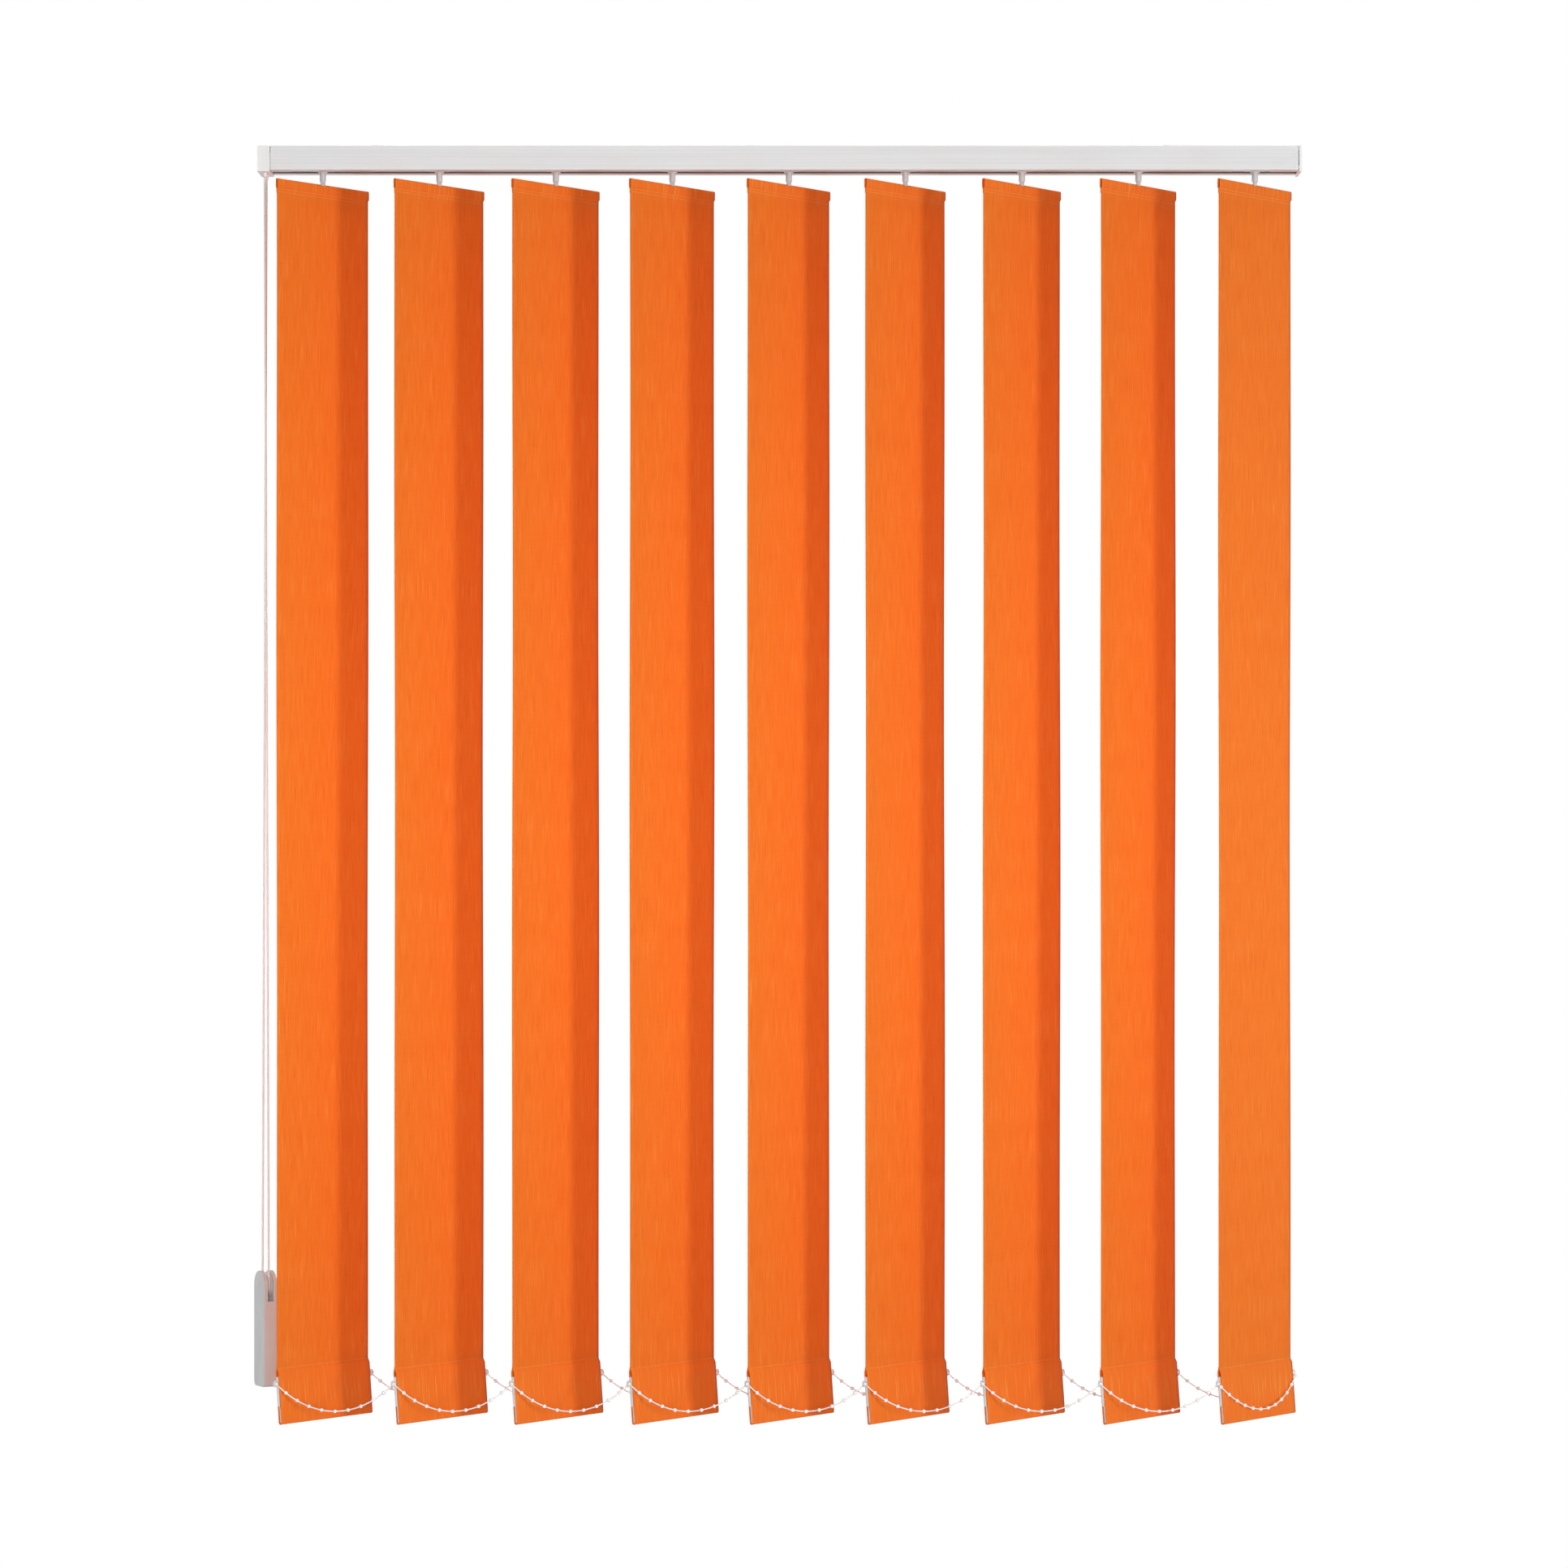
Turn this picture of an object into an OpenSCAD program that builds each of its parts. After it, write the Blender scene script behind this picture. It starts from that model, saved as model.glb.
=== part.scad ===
/* [Headrail] */
// Width of the blind across its end caps
blind_w = 1000; // [996:1:1100]
// Depth of the headrail, front to back
rail_d = 40; // [39:0.5:46]
// Height of the headrail
rail_h = 23; // [22.5:0.5:27]
// Thickness of the headrail's walls
rail_wall = 1.2; // [1:0.1:1.4]
// Width of the slot that the stems hang through
slot_w = 14; // [12:0.5:15]
// Spacing of the fine grooves along the headrail's faces
groove_pitch = 3; // [2:0.5:5]
// Depth of the fine grooves
groove_depth = 0.2; // [0.1:0.05:0.3]
// Width of the mouth of the clip track on top
track_mouth = 10; // [8:0.5:12]
// Width inside the clip track
track_w = 16; // [14:0.5:18]
// Height inside the clip track
track_h = 2.2; // [2:0.1:2.6]

/* [End caps and clips] */
// Thickness of the control end cap outside the headrail
control_cap_t = 12; // [12:0.5:16]
// Length of the control cap's insert in the headrail
control_insert = 18; // [18:1:30]
// Thickness of the idle end cap's plate
idle_cap_t = 2.4; // [2:0.1:4]
// Amount that the end caps stand below the headrail
cap_lip = 1.5; // [0.5:0.5:3]
// Hairline between an end cap and the headrail
cap_gap = 0.6; // [0.3:0.1:0.8]
// Distance between the two ceiling clips
clip_spacing = 760; // [500:10:860]
// Side of a ceiling clip's square plate
clip_side = 24; // [18:1:30]
// Thickness of a ceiling clip's plate
clip_plate = 1.5; // [1:0.1:2.5]
// Diameter of the screw hole in a ceiling clip
clip_hole = 4.2; // [3.5:0.1:5]

/* [Vanes] */
// Width of a vane
vane_w = 127; // [89:1:130]
// Length of a vane, hem to hem
vane_len = 1186; // [900:1:1500]
// Distance from one vane to the next
vane_pitch = 112; // [100:0.5:112]
// Turn of the vanes from the line of the headrail
vane_turn = 52; // [20:1:90]
// Distance from the headrail down to the vanes
vane_drop = 12; // [10:0.5:16]
// Thickness of the vane fabric
fabric_t = 0.5; // [0.4:0.05:0.7]
// Height of the pocket at the top of a vane
top_hem = 12.5; // [11:0.5:20]
// Height of the pocket at the bottom of a vane
bottom_hem = 53; // [50:0.5:70]
// Lean of the bottom pocket out of the vane
hem_lean = 4.8; // [0:0.1:6]
// Thickness of the hanger bar in the top pocket
hanger_t = 1.6; // [1.2:0.1:2]
// Length of the hanger bar
hanger_len = 118; // [60:1:120]
// Thickness of the bottom weight
weight_t = 1.8; // [1.2:0.1:2.4]
// Height of the bottom weight
weight_h = 44; // [36:0.5:44]

/* [Carriers] */
// Distance from the left end to the first stem
first_inset = 61; // [58:0.5:64]
// Length of a carrier along the headrail
carrier_len = 19; // [18.8:0.1:19.6]
// Thickness of a carrier's base
base_t = 2; // [1.8:0.1:2.2]
// Diameter of a carrier's collar in the slot
collar_d = 9.2; // [8.4:0.1:10]
// Diameter of a stem
stem_d = 6; // [5:0.1:6.6]
// Height of a spacer strip
strip_h = 3; // [2:0.1:4]
// Thickness of a spacer strip
strip_t = 0.45; // [0.3:0.05:0.5]

/* [Tilt gear] */
// Diameter of the tilt rod
rod_d = 4; // [3.6:0.1:4.2]
// Teeth on a pinion
pinion_teeth = 12; // [12:1:14]
// Teeth on a stem's crown gear
crown_teeth = 24; // [22:1:25]
// Module of the gear teeth
tooth_module = 0.6; // [0.58:0.01:0.61]
// Width of the gear teeth
tooth_face = 1.2; // [1:0.1:1.4]

/* [Cord and weight] */
// Diameter of the cord
cord_d = 2; // [1.6:0.1:2.4]
// Radius of the cord's path round the drive pulley
drive_r = 5; // [4.6:0.1:5.2]
// Width of the cord weight
cord_weight_w = 13; // [12:0.5:18]
// Depth of the cord weight
cord_weight_d = 28; // [26:0.5:34]
// Length of the cord weight
cord_weight_len = 111; // [90:1:140]
// Width of the slot in the cord weight
cord_slot = 6; // [5.6:0.1:7]

/* [Chain] */
// Drop of the chain between two vanes
chain_sag = 26; // [15:0.5:34]
// Distance from bead to bead
bead_pitch = 12.7; // [8:0.1:16]
// Diameter of a bead
bead_d = 3.6; // [3:0.1:3.8]
// Diameter of the string between the beads
string_d = 1.2; // [0.8:0.1:1.4]

/* [Hidden] */
$fn = 48;
vane_count = 9;
NUMBERED = ["carrier", "pinion", "stem", "vane", "bottom_weight"];
SINGLE = ["headrail", "control_end_cap", "idle_end_cap", "ceiling_clips", "end_cap_screws",
          "tilt_rod", "drive_pulley", "return_pulley", "rail_cord", "pull_cord", "cord_weight",
          "weight_pulley", "front_chain", "rear_chain", "end_chain"];

// Clearances, and the overlaps that fuse and cut pieces
run_gap = 0.3;
fit_gap = 0.2;
press_gap = 0.05;
weld = 0.2;
cut = 1;

// Heights, measured down from the ceiling
rail_top = -clip_plate;
rail_bottom = rail_top - rail_h;
lip_top = rail_bottom + rail_wall;
track_floor = rail_top - rail_wall - track_h;
rail_ceiling = track_floor - rail_wall;
base_lo = lip_top + run_gap;
base_hi = base_lo + base_t;
disc_t = 2;
disc_lo = base_hi + run_gap;
disc_hi = disc_lo + disc_t;
vane_top = rail_bottom - vane_drop;
seam_z = vane_top - vane_len + bottom_hem;

// Places along the headrail
left_end = -blind_w / 2;
right_end = blind_w / 2;
rail_left = left_end + control_cap_t;
rail_right = right_end - idle_cap_t;
inner_half = rail_d / 2 - rail_wall;
groove_w = groove_pitch / 5;
function stem_x(k) = left_end + first_inset + (k - 1) * vane_pitch;

// Screw ports in the headrail's upper corners
port_r = 2.7;
port_bore = 1.4;
port_y = inner_half - port_r + fit_gap;
port_z = rail_top - rail_wall - port_r + fit_gap;
screw_r = 1.3;
screw_bite = 12;
screw_head_r = 2.6;
screw_head_h = 1.2;
screw_hole = screw_r + fit_gap;
head_recess = screw_head_h + fit_gap;

// Gear sizes
addendum = 0.9 * tooth_module;
dedendum = 1.25 * tooth_module;
crown_rise = 0.75 * tooth_module;
pinion_pitch_r = pinion_teeth * tooth_module / 2;
pinion_tip_r = pinion_pitch_r + addendum;
pinion_root_r = pinion_pitch_r - 1.15 * tooth_module;
crown_r = crown_teeth * tooth_module / 2;
crown_disc_r = crown_r + tooth_face / 2;
tooth_foot = 0.72 * tooth_module;
tooth_tip = 0.34 * tooth_module;
pinion_w = tooth_face + fit_gap;
rod_z = disc_hi + dedendum + pinion_pitch_r;
rod_flat = 0.4 * rod_d;

// Carrier sizes
carrier_side_gap = 0.8;
carrier_half_y = inner_half - carrier_side_gap;
wall_t = 0.9;
post_half_y = 6;
bridge_lo = rod_z + pinion_tip_r + 2 * fit_gap;
bridge_t = 1.2;
bridge_hi = bridge_lo + bridge_t;
fork_t = 0.8;
fork_inset = 1;
collar_drop = 0.3;
strip_floor_gap = 0.2;
strip_step = 0.75;
strip_clear = 2;
strip_first = crown_disc_r + strip_clear;
tab_h = 1.5;
tab_t = 1.2;
guide_wall = 1;
jaw_half_x = 6;
jaw_wall = 1;
function strip_y(k) = strip_first + (k - 1) * strip_step;

// Cord drive
cord_r = cord_d / 2;
exit_x = left_end + control_cap_t / 2;
strand_y = 8.5;
run_z = rod_z + drive_r;
drive_x = exit_x + drive_r;
pulley_rim = 1.6;
pulley_t = 3.8;
pulley_flange = 0.4;
groove_gap = 0.2;
groove_r = drive_r - cord_r;
axle_r = 1.5;
nub_r = 2.2;
nub_drop = 4;
cap_bottom = rail_bottom - cap_lip;
nub_bottom = cap_bottom - nub_drop;
cord_hole_gap = 0.5;
cord_hole_r = cord_r + cord_hole_gap;
cap_proud = 0.4;
cap_wall = 2;
cavity_side = 2.2;
cavity_half = strand_y + pulley_t / 2 + cavity_side;
rod_start_gap = 2.4;
rod_start = drive_x + axle_r + rod_start_gap;
return_inset = 16;
return_x = right_end - return_inset;
return_post_r = 2;
rod_end_gap = 5;
rod_end = return_x - return_post_r - rod_end_gap;
bearing_t = 5;
tongue_t = 3;
stub = 0.8;

// Hanger, stem and hem sizes
blade_w = 5.4;
blade_rise = 6;
blade_top = vane_top + blade_rise;
foot_rise = 3;
stem_foot = vane_top + foot_rise;
hem_gap = 0.3;
seam_w = 1.5;
seam_neck = 0.05;
hem_taper = 3;
top_half = hanger_t / 2 + hem_gap + fabric_t;
bottom_half = weight_t / 2 + 2 * hem_gap + fabric_t;
hanger_top = vane_top - fabric_t - 3 * hem_gap;
hanger_bottom = vane_top - top_hem + seam_w + hem_taper;
slit_w = blade_w + 2 * run_gap;
weight_base = -bottom_hem + fabric_t + 3 * hem_gap;
end_tab_h = 28;
end_tab_reach = 1.1;
weight_inset = 1;
weight_half = vane_w / 2 - weight_inset;
clip_reach = 2.6;
clip_w = vane_w / 2 + clip_reach;
clip_play = 0.7;
clip_hole_r = bead_d / 2 + clip_play;
clip_rim = 0.7;
clip_ring = clip_hole_r + clip_rim;
clip_drop = 14;
clip_y = -clip_drop * sin(hem_lean);
clip_z = seam_z - clip_drop * cos(hem_lean);
chain_bulge = 6.8;
end_chain_y = clip_y - weight_t / 2 - bead_d / 2 - run_gap;
end_chain_drop = 0.75 * bead_d;

// Cord weight sizes
weight_turn = 26.5;
cord_drop = 1064;
weight_axle_z = nub_bottom - cord_drop;
weight_pulley_rim = 11.5;
weight_pulley_t = cord_slot - 2 * run_gap;
weight_cord_r = 8.4;
cheek_r = cord_weight_d / 2;
slot_depth = 15;
pin_r = 1.6;
foot_r = 5;

// Half of the pull cord's loop, from the control cap to under the weight's pulley,
// measured from the middle of the two exits; the other half is its half turn
half_route = [
    [0, -8.5, 0], [0.5, -8.4, -150], [1.1, -8.2, -300], [1.6, -8.1, -450],
    [2.2, -8, -600], [2.7, -7.9, -750], [3.2, -7.7, -900], [3.8, -7.6, -1064],
    [3.3, -6.6, -1068.3], [1.9, -3.8, -1071.4], [0, 0, -1072.5]];
pull_route = concat(half_route,
    [for (i = [len(half_route) - 2 : -1 : 0]) let (p = half_route[i]) [-p[0], -p[1], p[2]]]);

// Rings of one bead: place along it and girth, as shares of its radius
bead_rings = [[-0.94, string_d / bead_d], [-0.6, 0.8], [0, 1], [0.6, 0.8], [0.94, string_d / bead_d]];
bead_sides = 6;
fold_step = 20;

// Curves and sweeps
function unit(v) = v / norm(v);
function turned(p, a) = [p[0] * cos(a) - p[1] * sin(a), p[0] * sin(a) + p[1] * cos(a)];
function heading(p, i) = unit(p[min(i + 1, len(p) - 1)] - p[max(i - 1, 0)]);
function sides(p, start) =
    [for (i = 0, n = start; i < len(p);
          i = i + 1, d = heading(p, min(i, len(p) - 1)), n = unit(n - (n * d) * d)) n];
function arc(centre, a, b, r, from, to, steps) =
    [for (i = [0 : steps]) let (t = from + (to - from) * i / steps)
        centre + r * (cos(t) * a + sin(t) * b)];
function cosh(x) = (exp(x) + exp(-x)) / 2;
function asinh(x) = ln(x + sqrt(x * x + 1));
function catenary(span, sag, lo = 10, hi = 4000, n = 40) =
    let (m = (lo + hi) / 2)
    n == 0 ? m
    : m * (cosh(span / (2 * m)) - 1) > sag ? catenary(span, sag, m, hi, n - 1)
    : catenary(span, sag, lo, m, n - 1);

// Skins a list of rings, each a list of points, into one closed solid
module skin(rings) {
    n = len(rings[0]);
    last = len(rings) - 1;
    polyhedron(
        points = [for (ring = rings) for (p = ring) p],
        faces = concat(
            [[for (j = [0 : n - 1]) j]],
            [for (i = [0 : last - 1]) for (j = [0 : n - 1])
                [i * n + j, (i + 1) * n + j, (i + 1) * n + (j + 1) % n, i * n + (j + 1) % n]],
            [[for (j = [n - 1 : -1 : 0]) last * n + j]]));
}

// Round tube along a list of points, with its first side facing start
module tube(path, r, start, n = 8) {
    frames = sides(path, start);
    skin([for (i = [0 : len(path) - 1])
        let (u = frames[i], v = cross(heading(path, i), u))
        [for (j = [0 : n - 1]) path[i] - r * (cos(360 * j / n) * u + sin(360 * j / n) * v)]]);
}

// Beaded chain hanging in equal bays from a point, along X, with a bulge towards the front
module beaded_chain(span, bays, bulge) {
    a = catenary(span, chain_sag);
    half = sqrt(pow(chain_sag + a, 2) - a * a);
    gaps = round(2 * half / bead_pitch);
    step = 2 * half / gaps;
    bead = bead_d / 2;
    places = [for (b = [0 : bays - 1]) for (m = [(b == 0 ? 0 : 1) : gaps]) [b, m]];
    skin([for (place = places) for (q = bead_rings)
        let (joint = place[1] == gaps && place[0] < bays - 1,
             over = joint && q[0] > 0,
             bay = over ? place[0] + 1 : place[0],
             s = (over ? 0 : place[1]) * step - half + q[0] * bead,
             slope = joint && q[0] == 0 ? 0 : atan(s / a),
             share = min(max((s + half) / (2 * half), 0), 1),
             x = bay * span + span / 2 + a * asinh(s / a),
             y = -bulge * 4 * share * (1 - share),
             z = sqrt(a * a + s * s) - a - chain_sag,
             r = q[1] * bead)
        [for (j = [0 : bead_sides - 1])
            let (t = 360 * j / bead_sides)
            [x - r * sin(t) * sin(slope), y + r * cos(t), z + r * sin(t) * cos(slope)]]]);
}

// Runs a profile drawn in depth and height along the headrail
module along(from, to) {
    translate([from, 0, 0]) rotate([90, 0, 90]) linear_extrude(to - from) children();
}

module box(lo, hi) {
    translate(lo) cube(hi - lo);
}

// Round bar along X, and along Y
module bar_x(x0, x1, y, z, r) {
    translate([x0, y, z]) rotate([0, 90, 0]) cylinder(r = r, h = x1 - x0);
}

module bar_y(y0, y1, x, z, r) {
    translate([x, y0, z]) rotate([-90, 0, 0]) cylinder(r = r, h = y1 - y0);
}

// Places a child drawn facing the front at one vane's axis, turned as the vanes are
module at_vane(k) {
    translate([stem_x(k), 0, 0]) rotate([0, 0, vane_turn]) children();
}

// Leans a child with the bottom pocket, about its seam
module in_hem() {
    translate([0, 0, seam_z]) rotate([-hem_lean, 0, 0]) children();
}

module rail_profile() {
    half = rail_d / 2;
    track_half = track_w / 2;
    count = floor((rail_h - 2 * groove_pitch) / groove_pitch);
    difference() {
        union() {
            difference() {
                translate([-half, rail_bottom]) square([rail_d, rail_h]);
                translate([-inner_half, lip_top]) square([2 * inner_half, rail_h - 2 * rail_wall]);
            }
            translate([-track_half - rail_wall, rail_ceiling])
                square([track_w + 2 * rail_wall, rail_top - rail_ceiling]);
            for (side = [-1, 1]) translate([side * port_y, port_z]) circle(port_r);
        }
        translate([-slot_w / 2, rail_bottom - cut]) square([slot_w, rail_wall + 2 * cut]);
        translate([-track_half, track_floor]) square([track_w, track_h]);
        translate([-track_mouth / 2, track_floor]) square([track_mouth, track_h + rail_wall + cut]);
        for (side = [-1, 1]) translate([side * port_y, port_z]) circle(port_bore);
        for (side = [-1, 1]) for (i = [0 : count])
            translate([side * half, rail_top - (i + 1.5) * groove_pitch])
                square([2 * groove_depth, groove_w], center = true);
    }
}

module headrail() {
    color("gainsboro") along(rail_left + cap_gap, rail_right - cap_gap) rail_profile();
}

// Block that fits inside the headrail below its clip track, clear of the screw ports
module insert_block(x0, x1) {
    side = inner_half - fit_gap;
    port_side = port_y - port_r - fit_gap;
    box([x0, -side, lip_top + fit_gap], [x1, side, port_z - port_r - fit_gap]);
    box([x0, -port_side, lip_top + fit_gap], [x1, port_side, rail_ceiling - fit_gap]);
}

// Plate or block that closes one end of the headrail
module cap_block(x0, x1) {
    side = rail_d / 2 + cap_proud;
    box([x0, -side, cap_bottom], [x1, side, rail_top]);
}

// Screw holes through an end cap, drawn from its outer face at x = 0 inwards along +X
module cap_screw_holes(depth) {
    for (side = [-1, 1]) {
        bar_x(-cut, depth + cut, side * port_y, port_z, screw_hole);
        bar_x(-cut, head_recess, side * port_y, port_z, screw_head_r + fit_gap);
    }
}

module control_end_cap() {
    insert_end = rail_left + control_insert;
    bearing_start = insert_end - bearing_t / 2;
    cavity_top = rod_z + crown_disc_r + run_gap;
    cavity_bottom = rod_z - crown_disc_r - run_gap;
    color("whitesmoke") {
        difference() {
            union() {
                cap_block(left_end, rail_left);
                insert_block(rail_left - cut, insert_end);
                for (side = [-1, 1]) translate([exit_x, side * strand_y, nub_bottom])
                    cylinder(r = nub_r, h = nub_drop + cut);
            }
            box([left_end + cap_wall, -cavity_half, cavity_bottom],
                [bearing_start, cavity_half, cavity_top]);
            box([bearing_start - cut, strand_y - cord_hole_r, run_z - cord_hole_r],
                [insert_end + cut, strand_y + cord_hole_r, rail_ceiling + cut]);
            box([bearing_start - cut, -strand_y - cord_hole_r, run_z - cord_hole_r],
                [insert_end + cut, -strand_y + cord_hole_r, rail_ceiling + cut]);
            bar_x(bearing_start - cut, insert_end + cut, 0, rod_z, rod_d / 2 + fit_gap);
            for (side = [-1, 1]) translate([exit_x, side * strand_y, nub_bottom - cut])
                cylinder(r = cord_hole_r, h = cavity_bottom - nub_bottom + 2 * cut);
            translate([left_end, 0, 0]) cap_screw_holes(control_cap_t);
        }
        bar_y(-cavity_half - cut, cavity_half + cut, drive_x, rod_z, axle_r);
        bar_y(strand_y - pulley_t / 2, cavity_half + cut, drive_x, rod_z, groove_r - groove_gap);
    }
}

module idle_end_cap() {
    tongue_start = rod_end - bearing_t;
    tongue_top = lip_top + fit_gap + tongue_t;
    post_top = rail_ceiling - fit_gap;
    under_pulley = run_z - pulley_t / 2 - run_gap;
    color("whitesmoke") difference() {
        union() {
            cap_block(rail_right, right_end);
            box([tongue_start, -inner_half + fit_gap, lip_top + fit_gap],
                [rail_right + cut, inner_half - fit_gap, tongue_top]);
            box([tongue_start, -post_half_y, tongue_top - cut], [rod_end, post_half_y, under_pulley]);
            translate([return_x, 0, tongue_top - cut])
                cylinder(r = return_post_r, h = post_top - tongue_top + cut);
            translate([return_x, 0, tongue_top - cut])
                cylinder(r = return_post_r + cap_wall, h = under_pulley - tongue_top + cut);
        }
        bar_x(tongue_start - cut, rod_end + cut, 0, rod_z, rod_d / 2 + fit_gap);
        translate([right_end, 0, 0]) rotate([0, 0, 180]) cap_screw_holes(idle_cap_t);
    }
}

module ceiling_clips() {
    neck = track_mouth - 2 * run_gap;
    head = track_w - 2 * run_gap;
    color("silver") for (side = [-1, 1]) translate([side * clip_spacing / 2, 0, 0]) difference() {
        union() {
            box([-clip_side / 2, -clip_side / 2, rail_top], [clip_side / 2, clip_side / 2, 0]);
            box([-neck / 2, -neck / 2, track_floor + fit_gap], [neck / 2, neck / 2, rail_top + cut]);
            box([-neck / 2, -head / 2, track_floor + fit_gap],
                [neck / 2, head / 2, rail_top - rail_wall - fit_gap]);
        }
        translate([0, 0, track_floor - cut]) cylinder(r = clip_hole / 2, h = -track_floor + 2 * cut);
    }
}

// Screw from an end cap's outer face, drawn with its head at x = 0 and its shank along +X
module cap_screw(reach) {
    bar_x(0, screw_head_h, 0, 0, screw_head_r);
    bar_x(screw_head_h - weld, reach, 0, 0, screw_r);
}

module end_cap_screws() {
    color("silver") for (side = [-1, 1]) {
        translate([left_end + fit_gap, side * port_y, port_z]) cap_screw(control_cap_t + screw_bite);
        translate([right_end - fit_gap, side * port_y, port_z])
            rotate([0, 0, 180]) cap_screw(idle_cap_t + screw_bite);
    }
}

// Rod with two flats, and the hole that slides along it
module rod_section(grow) {
    intersection() {
        circle(rod_d / 2 + grow);
        square([rod_d + 2 * cut, 2 * (rod_flat + grow)], center = true);
    }
}

// Spur pinion on the rod's axis, with one tooth pointing down
module pinion_gear(x, bore_gap) {
    tooth = [[-tooth_foot, -pinion_root_r], [-tooth_tip, -pinion_tip_r],
             [tooth_tip, -pinion_tip_r], [tooth_foot, -pinion_root_r]];
    along(x - pinion_w / 2, x + pinion_w / 2) translate([0, rod_z]) difference() {
        polygon([for (i = [0 : pinion_teeth - 1]) for (p = tooth) turned(p, 360 * i / pinion_teeth)]);
        rod_section(bore_gap);
    }
}

// Ring of crown teeth standing on a disc at height 0, with a space on the +X side
module crown_ring() {
    for (i = [0 : crown_teeth - 1]) rotate(360 * (i + 0.5) / crown_teeth)
        translate([crown_r - tooth_face / 2, 0, 0]) rotate([90, 0, 90]) linear_extrude(tooth_face)
            polygon([[-tooth_foot, -weld], [tooth_foot, -weld],
                     [tooth_tip, dedendum + crown_rise], [-tooth_tip, dedendum + crown_rise]]);
}

module tilt_rod() {
    drive_pinion_x = drive_x + crown_r;
    color("silver") along(rod_start, rod_end - fit_gap) translate([0, rod_z]) rod_section(0);
    color("dimgray") pinion_gear(drive_pinion_x, press_gap);
}

module pinion(k) {
    color("white") pinion_gear(stem_x(k) + crown_r, fit_gap / 2);
}

// Cord pulley with its axis along Z, centred on its groove
module grooved_pulley(rim, groove, thick, bore) {
    half = thick / 2;
    mouth = half - pulley_flange;
    floor_half = cord_r + groove_gap;
    rotate_extrude() polygon([
        [bore, -half], [rim, -half], [rim, -mouth], [groove - groove_gap, -floor_half],
        [groove - groove_gap, floor_half], [rim, mouth], [rim, half], [bore, half]]);
}

module drive_pulley() {
    disc_face = strand_y - pulley_t / 2;
    crown_root = pinion_pitch_r + dedendum;
    color("white") translate([drive_x, -strand_y, rod_z]) rotate([-90, 0, 0]) {
        grooved_pulley(drive_r + pulley_rim, groove_r, pulley_t, axle_r + fit_gap);
        difference() {
            union() {
                translate([0, 0, pulley_t / 2 - weld])
                    cylinder(r = crown_disc_r, h = disc_face - crown_root + weld);
                translate([0, 0, strand_y - crown_root]) crown_ring();
            }
            translate([0, 0, -cut]) cylinder(r = axle_r + fit_gap, h = strand_y + 2 * cut);
        }
    }
}

module return_pulley() {
    color("white") translate([return_x, 0, run_z])
        grooved_pulley(strand_y + pulley_rim, strand_y - cord_r, pulley_t, return_post_r + fit_gap);
}

module rail_cord() {
    x_dir = [1, 0, 0];
    y_dir = [0, 1, 0];
    z_dir = [0, 0, 1];
    corner = [drive_x, -strand_y, rod_z];
    half = concat(
        [[exit_x, -strand_y, nub_bottom + stub]],
        arc(corner, -x_dir, z_dir, drive_r, 0, 90, 6),
        arc([return_x, 0, run_z], -y_dir, x_dir, strand_y, 0, 90, 8));
    back = [for (i = [len(half) - 2 : -1 : 0]) [half[i][0], -half[i][1], half[i][2]]];
    color("white") tube(concat(half, back), cord_r, y_dir);
}

// Strip that a carrier pulls its left neighbour along by, with its end tab upright
module spacer_strip(k) {
    y = strip_y(k);
    low = base_hi + strip_floor_gap;
    start = stem_x(k) - carrier_len / 2;
    tab_x = stem_x(k) + vane_pitch + carrier_len / 2 + run_gap;
    box([start, y, low], [tab_x + tab_t, y + strip_t, low + strip_h]);
    box([tab_x, y, low], [tab_x + tab_t, y + strip_t, low + strip_h + tab_h]);
    box([start, y, base_hi - weld], [start + carrier_len, y + strip_t, low + weld]);
}

// Bridge of a carrier that meets the tab of its left neighbour's strip
module strip_stop(k) {
    x = stem_x(k) + carrier_len / 2;
    low = base_hi + strip_floor_gap + strip_h + fit_gap;
    box([x - tab_t, strip_y(k - 1) - fit_gap, low], [x, carrier_half_y, low + tab_h - fit_gap]);
}

// Jaw that grips the cord's front run on the leading carrier
module cord_jaw(k) {
    x = stem_x(k);
    bore = cord_r + run_gap;
    outer = bore + jaw_wall;
    difference() {
        box([x - jaw_half_x, -strand_y - outer, run_z - outer],
            [x + jaw_half_x, -post_half_y + weld, run_z + outer]);
        bar_x(x - jaw_half_x - cut, x + jaw_half_x + cut, -strand_y, run_z, bore);
    }
}

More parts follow.
